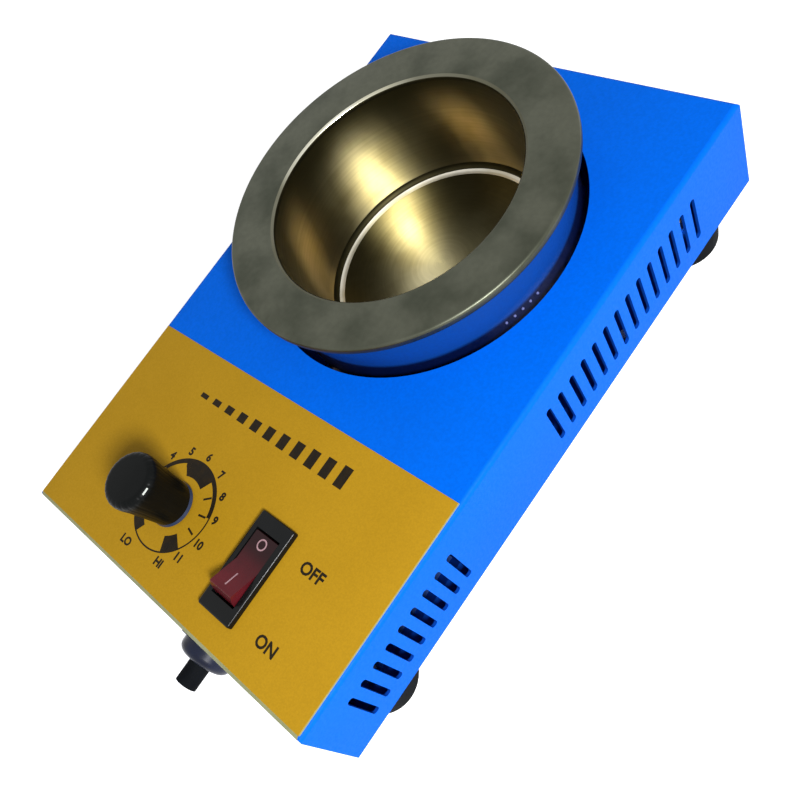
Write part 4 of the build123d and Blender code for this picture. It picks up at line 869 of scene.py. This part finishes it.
@dataclass
class Studio:
    """The camera, the lamp, the pale floor and the white background."""

    camera_place: Point = (172.365, -44.368, 228.133)
    camera_right: Point = (0.7065410, 0.5727430, -0.4156504)
    camera_up: Point = (-0.4153723, 0.8111663, 0.4116736)
    focal_pixels: float = 851.77
    middle_pixels: tuple[float, float] = (399.63, 440.41)
    image_pixels: float = 791.0
    sensor_width: float = 36.0
    floor_size: float = 6000.0
    floor_grey: float = 0.72
    floor_lift: float = 0.8
    fill: float = 0.3
    lamps: tuple[Lamp, ...] = (Lamp("key", (425.0, -95.0, 372.0), (0.0, 0.0, 40.0), 110.0, 3.5),)

    def camera(self) -> None:
        """Make the camera from the pose and focal length fitted to the picture."""
        data = bpy.data.cameras.new("camera")
        data.sensor_width = self.sensor_width
        data.lens = self.focal_pixels * self.sensor_width / self.image_pixels
        data.shift_x = 0.5 - self.middle_pixels[0] / self.image_pixels
        data.shift_y = self.middle_pixels[1] / self.image_pixels - 0.5
        data.clip_start, data.clip_end = 0.01, 20.0
        right, up = Vector(self.camera_right), Vector(self.camera_up)
        turned = Matrix((right, up, right.cross(up))).transposed().to_4x4()
        eye = put("camera", data)
        eye.matrix_world = Matrix.Translation(Vector(self.camera_place) * MM) @ turned
        bpy.context.scene.camera = eye

    @staticmethod
    def seen_share(tree: Tree) -> Socket:
        """Give 1 for rays from the camera, from gloss or through glass, and 0 for the rest."""
        path = add_node(tree, "ShaderNodeLightPath").outputs
        direct = calc(tree, "MAXIMUM", path["Is Camera Ray"], path["Is Glossy Ray"])
        return calc(tree, "MAXIMUM", direct, path["Is Transmission Ray"])

    def world(self) -> None:
        """Make the white background, which lights the object more softly than it looks."""
        world = bpy.data.worlds.new("background")
        tree = bare_tree(world)
        strength = remap(tree, self.seen_share(tree), target=(self.fill, 1.0))
        back = add_node(tree, "ShaderNodeBackground", {"Color": WHITE, "Strength": strength})
        add_node(tree, "ShaderNodeOutputWorld", {"Surface": back.outputs[0]})
        bpy.context.scene.world = world

    def floor(self) -> None:
        """Make the pale floor, white where it is lit and grey only in the object's shadow."""
        half = self.floor_size * MM / 2
        shape = bmesh.new()
        signs = ((-1, -1), (1, -1), (1, 1), (-1, 1))
        shape.faces.new([shape.verts.new((x * half, y * half, 0.0)) for x, y in signs])
        mesh = mesh_from(shape, "floor")
        surface = bpy.data.materials.new("pale_floor")
        tree = bare_tree(surface)
        grey = (self.floor_grey, self.floor_grey, self.floor_grey, 1.0)
        matt = add_node(tree, "ShaderNodeBsdfDiffuse", {"Color": grey})
        lift = remap(tree, self.seen_share(tree), target=(0.0, self.floor_lift))
        glow = add_node(tree, "ShaderNodeEmission", {"Color": WHITE, "Strength": lift})
        both = add_node(tree, "ShaderNodeAddShader", {0: matt.outputs[0], 1: glow.outputs[0]})
        add_node(tree, "ShaderNodeOutputMaterial", {"Surface": both.outputs[0]})
        mesh.materials.append(surface)
        put("floor", mesh)

    def build(self) -> None:
        """Make the whole studio."""
        bpy.context.scene.view_settings.view_transform = "Standard"
        self.camera()
        self.world()
        self.floor()
        for lamp in self.lamps:
            lamp.hang()


@dataclass
class Case:
    """The folded cover, base plate and rubber feet."""

    def build(self) -> None:
        """Dress the case's nodes."""
        dress(CASE_PAINT, "cover")
        dress(LINED_ZINC, "base_plate")
        dress(RUBBER, "feet")
        dress(BRIGHT_PLATE, "base_screws", "foot_screws", "foot_nuts", "shell_screws", "shell_nuts")


@dataclass
class HeatedWell:
    """The crucible, its rim and the round jacket that carries it."""

    axis: tuple[float, float] = POT_AXIS
    rim_top: float = 61.4
    rim_radius: float = 54.8
    rim_thickness: float = 3.0
    rim_rounding: float = 1.0
    mouth_radius: float = 39.5
    mouth_rounding: float = 1.2
    depth: float = 39.2
    draft: float = 0.9
    floor_rounding: float = 3.0
    bottom_rounding: float = 2.0
    corner_top: float = 0.55
    foot_line: float = 2.1
    oxide_top: float = 60.9
    oxide_foot: float = 59.7
    lip_width: float = 1.0
    bore_margin: float = 0.9
    floor_margin: float = 0.1
    wall: float = 2.0
    floor: float = 3.0
    turns: int = 192
    speck_count: int = 5
    speck_start: float = -20.2
    speck_step: float = 3.4
    speck_reach: float = 49.4
    speck_height: float = 40.5
    speck_radius: float = 0.45

    def zone(self, radius: float, height: float) -> Finish:
        """Give the cup's finish at a radius and at a height above the table."""
        floor = self.rim_top - self.depth
        # The lip's finish paints a highlight on its far side
        if height > self.oxide_top and radius < self.mouth_radius + self.lip_width:
            return LIP_HIGHLIGHT_STEEL
        outside = radius > self.mouth_radius + self.bore_margin or height > self.oxide_top
        if outside or height < floor - self.floor_margin:
            return RIM_STEEL
        # Just under the mouth lies the oxide ring; from corner_top to foot_line over the floor lies a
        # painted shade line at the wall's foot
        if height > self.oxide_foot or self.corner_top < height - floor < self.foot_line:
            return OXIDE_AND_SHADE_STEEL
        if height > floor + self.corner_top:
            return WALL_STEEL
        # The corner's pale finish and the floor's pale stripe are painted highlights
        corner = self.mouth_radius - self.draft - self.floor_rounding
        return CORNER_STEEL if radius > corner else FLOOR_STEEL

    def crucible(self) -> None:
        """Turn the cup with its rim in one piece, dull outside, and in the bore heat-tinted with painted
        highlights and painted shade.
        """
        floor = self.rim_top - self.depth
        bottom, under = floor - self.floor, self.rim_top - self.rim_thickness
        outer = self.mouth_radius + self.wall
        profile = rounded(
            [
                (0.0, bottom, 0.0),
                (outer, bottom, self.bottom_rounding),
                (outer, under, 0.0),
                (self.rim_radius, under, self.rim_rounding),
                (self.rim_radius, self.rim_top, self.rim_rounding),
                (self.mouth_radius, self.rim_top, self.mouth_rounding),
                (self.mouth_radius, self.oxide_foot, 0.0),
                (self.mouth_radius - self.draft, floor, self.floor_rounding),
                (0.0, floor, 0.0),
            ]
        )
        mesh = lathe(profile, (*self.axis, 0.0), self.turns)
        finishes = (RIM_STEEL, WALL_STEEL, OXIDE_AND_SHADE_STEEL, CORNER_STEEL, FLOOR_STEEL, LIP_HIGHLIGHT_STEEL)
        for finish in finishes:
            mesh.materials.append(finish.material())
        for polygon in mesh.polygons:
            x, y, z = polygon.center / MM
            radius = math.hypot(x - self.axis[0], y - self.axis[1])
            polygon.material_index = finishes.index(self.zone(radius, z))
        piece = settle("spun_crucible", mesh, "case")
        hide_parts("crucible")

    def speck_tree(self) -> bpy.types.GeometryNodeTree:
        """Make the tree for a row of small round specks set at even bearings round an axis."""
        tree, given = tree_inputs(
            "speck_row",
            {
                "Count": 5,
                "First Angle": 0.0,
                "Step": 0.06,
                "Radius": 0.05,
                "Speck Radius": 0.0005,
                "Centre": (0.0, 0.0, 0.0),
                "Finish": None,
            },
        )
        spots, _ = row_on_arc(tree, given)
        inputs = {"Segments": 10, "Rings": 6, "Radius": given["Speck Radius"]}
        ball = add_node(tree, "GeometryNodeMeshUVSphere", inputs)
        tree_end(tree, instances(tree, spots, ball.outputs[0]), given["Finish"])
        return tree

    def specks(self) -> None:
        """Set the five pale specks at the foot of the jacket, painted highlights for points of light in
        the gap.
        """
        values = {
            "Count": self.speck_count,
            "First Angle": math.radians(self.speck_start),
            "Step": math.radians(self.speck_step),
            "Radius": self.speck_reach * MM,
            "Speck Radius": self.speck_radius * MM,
            "Centre": metres(*self.axis, self.speck_height),
            "Finish": GAP_GLINT_SPECK.material(),
        }
        mesh = bake(bpy.data.meshes.new("specks"), self.speck_tree(), values)
        settle("gap_speck_painted_glints", mesh, "case", sharp=80.0)

    def build(self) -> None:
        """Build the cup and dress what stands round it."""
        self.crucible()
        self.specks()
        # The jacket's foot is darkened with painted shade where it sinks into the gap
        dress(JACKET_PAINT, "heater_shell")
        dress(BRIGHT_PLATE, "shell_spacers", "clamp_screw", "clamp_nut")
        dress(BAND_STEEL, "band_heater")
        dress(CERAMIC_FIBRE, "insulation_disc", "insulation_ring")
        dress(STEATITE, "lead_bush")


@dataclass
class Lettering:
    """Flat letters and numbers cut from ink; a capital takes cap_share of the font's size."""

    finish: Finish
    boldness: float = 0.03
    cap_share: float = 0.7

    def word(self, text: str, height: float, place: Point) -> Mesh:
        """Make a word as a flat mesh.

        Args:
            text: The letters.
            height: Height of a capital letter in millimetres.
            place: Middle of the word in millimetres.

        Returns:
            The word's mesh, in place, in metres.
        """
        curve = bpy.data.curves.new("word", "FONT")
        curve.body = text
        curve.align_x = curve.align_y = "CENTER"
        curve.resolution_u = 3
        curve.offset = self.boldness
        mesh = plain_mesh(put("word", curve))
        size = Matrix.Scale(height / self.cap_share * MM, 4)
        mesh.transform(Matrix.Translation(Vector(place) * MM) @ size)
        mesh.materials.clear()
        mesh.materials.append(self.finish.material())
        return mesh


@dataclass
class ControlPanel:
    """The printed film with its dial, its switch words and a plain heat scale.

    A band has its start and end angle and its start and end width, and lies layer_lift
    over the band before it. A number has its text, its angle and its reach from the dial's
    middle, and a word its text and place. Angles are in degrees, lengths in millimetres.
    """

    dial: tuple[float, float] = (-13.4, -68.4)
    ring_radius: float = 15.1
    tick_count: int = 3
    tick_start: float = -15.0
    tick_step: float = 26.5
    tick_radius: float = 11.9
    tick_length: float = 3.0
    tick_width: float = 0.65
    number_height: float = 2.5
    number_boldness: float = 0.045
    word_height: float = 3.5
    top: float = 41.25
    half_width: float = 66.3
    back: float = -23.3
    bend_front: float = -92.1
    bend_side: float = 66.1
    bend_level: float = 39.6
    bend_radius: float = 1.4
    film_thickness: float = 0.12
    film_gap: float = 0.02
    edge_turn: float = 62.0
    side_turn: float = 21.0
    layer_lift: float = 0.01
    segment_turn: float = 3.0
    least_segments: int = 8
    bands: tuple[tuple[float, float, float, float], ...] = (
        (0.0, 360.0, 0.5, 0.5),
        (12.0, 62.0, 1.5, 1.5),
        (60.0, 110.0, 5.7, 5.7),
        (110.0, 117.0, 5.7, 2.4),
        (116.0, 150.0, 1.6, 1.3),
        (296.0, 322.0, 5.3, 5.3),
        (205.0, 243.0, 4.4, 3.6),
    )
    numbers: tuple[tuple[str, float, float], ...] = (
        ("LO", 246.0, 19.0),
        ("4", 139.5, 17.3),
        ("5", 115.5, 17.3),
        ("6", 90.0, 17.2),
        ("7", 61.5, 17.2),
        ("8", 37.0, 17.2),
        ("9", 12.0, 17.2),
        ("10", -15.0, 17.6),
        ("11", -39.0, 17.6),
        ("HI", -62.0, 18.0),
    )
    words: tuple[tuple[str, float, float], ...] = (("OFF", 42.1, -59.6), ("ON", 43.4, -81.6))
    scale_bars: int = 11
    scale_start: float = -31.0
    scale_step: float = 6.3
    scale_foot: float = -37.2
    scale_least: float = 1.6
    scale_rise: float = 0.5
    scale_width: float = 3.4

    def band_tree(self) -> bpy.types.GeometryNodeTree:
        """Make the tree for a flat band round the dial whose width runs from one size to another."""
        tree, given = tree_inputs(
            "dial_band",
            {
                "Outer Radius": 0.015,
                "Start Angle": 0.0,
                "End Angle": math.tau,
                "Start Width": 0.0005,
                "End Width": 0.0005,
                "Segments": 64,
                "Centre": (0.0, 0.0, 0.0),
                "Finish": None,
            },
        )
        flat = grid(tree, 1.0, 1.0, given["Segments"], 3)
        parts = split(tree, add_node(tree, "GeometryNodeInputPosition").outputs[0])
        ends = (0.5, -0.5)
        angle = remap(tree, parts["X"], ends, (given["Start Angle"], given["End Angle"]))
        width = remap(tree, parts["X"], ends, (given["Start Width"], given["End Width"]))
        inset = calc(tree, "MULTIPLY", calc(tree, "SUBTRACT", parts["Y"], 0.5), width)
        radius = calc(tree, "ADD", inset, given["Outer Radius"])
        across = calc(tree, "MULTIPLY", calc(tree, "COSINE", angle), radius)
        along = calc(tree, "MULTIPLY", calc(tree, "SINE", angle), radius)
        centred = vector_calc(tree, "ADD", combine(tree, across, along), given["Centre"])
        tree_end(tree, moved(tree, flat, Position=centred), given["Finish"])
        return tree

    def tick_tree(self) -> bpy.types.GeometryNodeTree:
        """Make the tree for bars set out at even angles along the inside of the ring."""
        tree, given = tree_inputs(
            "dial_ticks",
            {
                "Count": 3,
                "First Angle": 0.0,
                "Step": 0.4,
                "Radius": 0.0145,
                "Length": 0.0025,
                "Width": 0.0005,
                "Centre": (0.0, 0.0, 0.0),
                "Finish": None,
            },
        )
        spots, spin = row_on_arc(tree, given)
        bar = grid(tree, given["Length"], given["Width"], 3, 2)
        tree_end(tree, instances(tree, spots, bar, Rotation=spin), given["Finish"])
        return tree

    def dial_print(self) -> None:
        """Print the dial: a ring that swells between two marks, wedges, ticks and numbers."""
        height = self.top + INK_LIFT
        ink = PANEL_INK.material()
        band = self.band_tree()
        meshes = []
        for layer, (start, end, first, last) in enumerate(self.bands):
            values = {
                "Outer Radius": self.ring_radius * MM,
                "Start Angle": math.radians(start),
                "End Angle": math.radians(end),
                "Start Width": first * MM,
                "End Width": last * MM,
                "Segments": max(self.least_segments, int((end - start) / self.segment_turn)),
                "Centre": metres(*self.dial, height + layer * self.layer_lift),
                "Finish": ink,
            }
            meshes.append(bake(bpy.data.meshes.new("band"), band, values))
        values = {
            "Count": self.tick_count,
            "First Angle": math.radians(self.tick_start),
            "Step": math.radians(self.tick_step),
            "Radius": self.tick_radius * MM,
            "Length": self.tick_length * MM,
            "Width": self.tick_width * MM,
            "Centre": metres(*self.dial, height),
            "Finish": ink,
        }
        meshes.append(bake(bpy.data.meshes.new("ticks"), self.tick_tree(), values))
        letters = Lettering(PANEL_INK, self.number_boldness)
        for text, angle, reach in self.numbers:
            turn = math.radians(angle)
            x, y = self.dial[0] + reach * math.cos(turn), self.dial[1] + reach * math.sin(turn)
            meshes.append(letters.word(text, self.number_height, (x, y, height)))
        settle("dial_print", joined(meshes, PANEL_INK), "case")

    def switch_words(self) -> None:
        """Print ON and OFF beside the switch."""
        letters, height = Lettering(PANEL_INK), self.top + INK_LIFT
        meshes = [letters.word(text, self.word_height, (x, y, height)) for text, x, y in self.words]
        settle("switch_words", joined(meshes, PANEL_INK), "case")

    def scale_tree(self) -> bpy.types.GeometryNodeTree:
        """Make the tree for a row of bars that rise evenly from a common foot."""
        tree, given = tree_inputs(
            "heat_scale",
            {
                "Count": 11,
                "Step": 0.006,
                "Least": 0.0016,
                "Rise": 0.0005,
                "Width": 0.0034,
                "Foot": (0.0, 0.0, 0.0),
                "Finish": None,
            },
        )
        number = add_node(tree, "GeometryNodeInputIndex").outputs[0]
        tall = calc(tree, "MULTIPLY_ADD", number, given["Rise"], given["Least"])
        half = calc(tree, "MULTIPLY", tall, 0.5)
        across = calc(tree, "MULTIPLY", number, given["Step"])
        placed = vector_calc(tree, "ADD", combine(tree, across, half), given["Foot"])
        row = add_node(tree, "GeometryNodeMeshLine", {"Count": given["Count"]})
        spots = moved(tree, row.outputs[0], Position=placed)
        size = combine(tree, given["Width"], tall, 1.0)
        bars = instances(tree, spots, grid(tree, 1.0, 1.0, 2, 2), Scale=size)
        tree_end(tree, bars, given["Finish"])
        return tree

    def heat_scale(self) -> None:
        """Print the plain rising scale above the controls."""
        values = {
            "Count": self.scale_bars,
            "Step": self.scale_step * MM,
            "Least": self.scale_least * MM,
            "Rise": self.scale_rise * MM,
            "Width": self.scale_width * MM,
            "Foot": metres(self.scale_start, self.scale_foot, self.top + INK_LIFT),
            "Finish": PANEL_INK.material(),
        }
        mesh = bake(bpy.data.meshes.new("scale"), self.scale_tree(), values)
        settle("heat_scale_print", mesh, "case")

    def edge_strip(self, turn: float) -> list[tuple[float, float]]:
        """Give the section of the film's edge over a bend: out from the bend's centre, and up.

        Args:
            turn: How far the film follows the bend, in degrees.

        Returns:
            The section's corners in order, in millimetres.
        """
        turns = [math.radians(turn * step / CURVE_STEPS) for step in range(CURVE_STEPS + 1)]
        outer, inner = (
            [(reach * math.sin(angle), reach * math.cos(angle)) for angle in turns]
            for reach in (self.bend_radius + self.film_thickness, self.bend_radius + self.film_gap)
        )
        return outer + inner[::-1]

    def film_edge(self) -> None:
        """Turn the film's pale edges, a painted highlight, down over the case's front bend and its side
        bends.
        """
        shape = bmesh.new()
        wide, side, front, back = self.half_width, self.bend_side, self.bend_front, self.back
        runs = (
            (self.edge_turn, ((-wide, front), (wide, front)), (0, -1)),
            (self.side_turn, ((side, front), (side, back)), (1, 0)),
            (self.side_turn, ((-side, front), (-side, back)), (-1, 0)),
        )
        for turn, ends, out in runs:
            section = self.edge_strip(turn)
            near, far = (
                [
                    shape.verts.new(metres(x + out[0] * reach, y + out[1] * reach, self.bend_level + up))
                    for reach, up in section
                ]
                for x, y in ends
            )
            bridge(shape, far, near, closed=True)
            shape.faces.new(near)
            shape.faces.new(far)
        bmesh.ops.recalc_face_normals(shape, faces=shape.faces)
        settle("film_edge_highlight_strip", mesh_from(shape, "edge", FILM_EDGE), "case")

    def build(self) -> None:
        """Dress the film and lay its print on it."""
        dress(PANEL_FILM, "panel_label")
        self.dial_print()
        self.switch_words()
        self.heat_scale()
        self.film_edge()


@dataclass
class Knob:
    """The knob, with a straight grip that widens slightly upwards, and its white mark that is also a
    painted highlight.
    """

    axis: tuple[float, float] = (-13.5, -68.5)
    foot: float = 42.05
    height: float = 20.5
    hollow_radius: float = 6.1
    hollow_depth: float = 3.6
    hollow_rounding: float = 0.2
    foot_radius: float = 7.4
    foot_height: float = 0.3
    foot_roundings: tuple[float, float] = (0.15, 0.1)
    neck_radius: float = 7.1
    neck_rounding: float = 0.3
    skirt_height: float = 1.2
    skirt_start: float = 0.1
    grip_radius: float = 8.3
    grip_height: float = 14.0
    shoulder_height: float = 17.0
    top_radius: float = 8.8
    top_rounding: float = 2.2
    flutes: int = 24
    flute_depth: float = 0.08
    flute_heights: tuple[float, float] = (1.8, 3.4)
    flute_radius: float = 6.3
    flute_width: float = 0.1
    mark_angles: tuple[float, float] = (-5.0, 10.0)
    mark_width: float = 0.5
    mark_lean: float = 38.0
    mark_lift: float = 0.04
    turns: int = 288

    def flute_tree(self) -> bpy.types.GeometryNodeTree:
        """Make the tree that presses even upright flutes into a turned grip."""
        tree, given = tree_inputs(
            "grip_flutes",
            {
                "Flutes": 24,
                "Depth": 0.0003,
                "Centre": (0.0, 0.0, 0.0),
                "Lower Height": 0.0,
                "Upper Height": 0.02,
                "Least Radius": 0.006,
                "Finish": None,
            },
        )
        spot = add_node(tree, "GeometryNodeInputPosition").outputs[0]
        parts = split(tree, vector_calc(tree, "SUBTRACT", spot, given["Centre"]))
        bearing = calc(tree, "ARCTAN2", parts["Y"], parts["X"])
        wave = calc(tree, "COSINE", calc(tree, "MULTIPLY", bearing, given["Flutes"]))
        groove = remap(tree, wave, (self.flute_width, 1.0), smooth=True)
        heights = (given["Lower Height"], given["Upper Height"])
        pressed = calc(tree, "MULTIPLY", groove, remap(tree, parts["Z"], heights, smooth=True))
        flat = combine(tree, parts["X"], parts["Y"])
        radius = vector_calc(tree, "LENGTH", flat)
        outside = calc(tree, "GREATER_THAN", radius, given["Least Radius"])
        inward = calc(tree, "MULTIPLY", given["Depth"], -1.0)
        depth = calc(tree, "MULTIPLY", calc(tree, "MULTIPLY", pressed, outside), inward)
        shift = vector_calc(tree, "MULTIPLY", vector_calc(tree, "NORMALIZE", flat), depth)
        tree_end(tree, moved(tree, given["Geometry"], Offset=shift), given["Finish"])
        return tree

    def grip(self) -> None:
        """Turn the grip and press its flutes."""
        profile = rounded(
            [
                (self.hollow_radius, self.hollow_depth, 0.0),
                (self.hollow_radius, 0.0, self.hollow_rounding),
                (self.foot_radius, 0.0, self.foot_roundings[0]),
                (self.foot_radius, self.foot_height, self.foot_roundings[1]),
                (self.neck_radius, self.skirt_height, self.neck_rounding),
                (self.grip_radius, self.grip_height, 0.0),
                (self.top_radius, self.shoulder_height, 0.0),
                (self.top_radius, self.height, self.top_rounding),
                (0.0, self.height, 0.0),
            ]
        )
        values = {
            "Flutes": self.flutes,
            "Depth": self.flute_depth * MM,
            "Centre": metres(*self.axis, self.foot),
            "Lower Height": self.flute_heights[0] * MM,
            "Upper Height": self.flute_heights[1] * MM,
            "Least Radius": self.flute_radius * MM,
            "Finish": KNOB_PLASTIC.material(),
        }
        mesh = bake(lathe(profile, (*self.axis, self.foot), self.turns), self.flute_tree(), values)
        # The skirt's bluish finish is a painted reflection
        mesh.materials.append(KNOB_SKIRT.material())
        for polygon in mesh.polygons:
            if self.skirt_start < polygon.center.z / MM - self.foot < self.skirt_height:
                polygon.material_index = 1
        piece = settle("knob_grip", mesh, "control_knob", sharp=50.0)
        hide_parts("knob")

    def pointer(self) -> None:
        """Lay the short white mark along the rounded top edge of the grip, where it also paints a
        highlight.
        """
        reach = self.top_rounding + self.mark_lift
        lean, half = math.radians(self.mark_lean), self.mark_width / 2 / reach
        start, end = self.mark_angles
        shape = bmesh.new()
        rows = []
        for step in range(CURVE_STEPS + 1):
            turn = math.radians(start + (end - start) * step / CURVE_STEPS)
            row = []
            for angle in (lean - half, lean, lean + half):
                radius = self.top_radius - self.top_rounding + reach * math.cos(angle)
                x = self.axis[0] + radius * math.cos(turn)
                y = self.axis[1] + radius * math.sin(turn)
                z = self.foot + self.height - self.top_rounding + reach * math.sin(angle)
                row.append(shape.verts.new(metres(x, y, z)))
            rows.append(row)
        for first, second in zip(rows, rows[1:]):
            bridge(shape, first, second)
        mesh = mesh_from(shape, "pointer", POINTER_PAINT)
        settle("knob_pointer", mesh, "control_knob", sharp=80.0)

    def build(self) -> None:
        """Build the knob and dress the potentiometer under it."""
        self.grip()
        self.pointer()
        dress(DIE_CAST, "potentiometer_bushing")
        dress(PHENOLIC, "potentiometer_track")
        dress(ZINC_SHEET, "potentiometer_can")
        dress(TINNED_BRASS, "potentiometer_lugs", "potentiometer_wiper")
        dress(TERMINAL_WHITE, "potentiometer_rotor")
        dress(BARE_ALUMINIUM, "potentiometer_shaft")
        dress(BRIGHT_PLATE, "potentiometer_washer", "potentiometer_nut")


@dataclass
class RockerSwitch:
    """The snap-in switch: glossy housing, tinted rocker and its two printed marks."""

    pivot: Point = (24.1, -69.0, 40.25)
    valley: float = 2.75
    facet_angle: float = 12.0
    rest_tilt: float = 12.0
    circle_radius: float = 1.7
    circle_place: float = 6.6
    circle_steps: int = 40
    line_width: float = 0.45
    bar_place: float = -5.4
    bar_length: float = 4.4

    def on_facet(self, across: float, along: float) -> Vector:
        """Give a point on the rocker's top, in metres, from its place across and along the rocker."""
        tilt = math.radians(self.rest_tilt)
        rise = self.valley + abs(along) * math.tan(math.radians(self.facet_angle)) + INK_LIFT
        shift = (
            across,
            along * math.cos(tilt) + rise * math.sin(tilt),
            -along * math.sin(tilt) + rise * math.cos(tilt),
        )
        return (Vector(self.pivot) + Vector(shift)) * MM

    def marks(self) -> None:
        """Print a circle on the rear half of the rocker and a bar on the front half."""
        shape = bmesh.new()
        turns = [math.tau * index / self.circle_steps for index in range(self.circle_steps)]
        inner, outer = (
            [
                shape.verts.new(
                    self.on_facet(radius * math.cos(turn), self.circle_place + radius * math.sin(turn))
                )
                for turn in turns
            ]
            for radius in (self.circle_radius - self.line_width, self.circle_radius)
        )
        bridge(shape, inner, outer, closed=True)
        half, reach = self.line_width / 2, self.bar_length / 2
        ends = (self.bar_place - reach, self.bar_place + reach)
        corners = ((-half, ends[0]), (half, ends[0]), (half, ends[1]), (-half, ends[1]))
        shape.faces.new([shape.verts.new(self.on_facet(x, y)) for x, y in corners])
        settle("rocker_marks", mesh_from(shape, "marks", ROCKER_MARK), "rocker")

    def build(self) -> None:
        """Dress the switch and print its marks."""
        dress(SWITCH_PLASTIC, "switch_housing")
        dress(ROCKER_PLASTIC, "switch_rocker")
        self.marks()
        dress(TINNED_BRASS, "switch_contact", "switch_blades")
        dress(LAMP_GLASS, "switch_lamp")


@dataclass
class CableGland:
    """The gland in the front wall, with its rubber bend sleeve."""

    def build(self) -> None:
        """Dress the gland."""
        dress(GLAND_NYLON, "gland_body", "gland_cap", "gland_locknut")
        dress(RUBBER, "gland_sleeve")


@dataclass
class Electronics:
    """The control board, the mains terminals and the earth stud inside the case."""

    def build(self) -> None:
        """Dress every node of the board and the mains side."""
        dress(BOARD_LAMINATE, "circuit_board")
        dress(BRIGHT_PLATE, "board_screws", "standoff_screws", "triac_screw")
        dress(BRIGHT_PLATE, "mains_screws", "mains_nuts", "earth_screw", "earth_nut")
        dress(TINNED_BRASS, "board_standoffs", "earth_tag")
        dress(BARE_ALUMINIUM, "heat_sink")
        dress(BLACK_EPOXY, "triac")
        dress(CAPACITOR_YELLOW, "film_capacitor")
        dress(TAN_LACQUER, "resistors")
        dress(BLUE_GLASS, "trigger_diode")
        dress(TERMINAL_GREEN, "board_terminals")
        dress(TERMINAL_BLUE, "mains_terminals")
        dress(LEAD_PVC, "mains_leads", "switch_leads")
        dress(GLASS_SLEEVE, "heater_leads")
        dress(SIGNAL_PVC, "potentiometer_leads")
        dress(EARTH_PVC, "earth_lead")


def main() -> None:
    """Build the studio and every sub-assembly in order."""
    logging.basicConfig(level=logging.INFO, format="%(name)s: %(message)s")
    Studio().build()
    parts = (
        Case(), HeatedWell(), ControlPanel(), Knob(), RockerSwitch(), CableGland(), Electronics()
    )
    for part in parts:
        part.build()


if __name__ == "__main__":
    main()
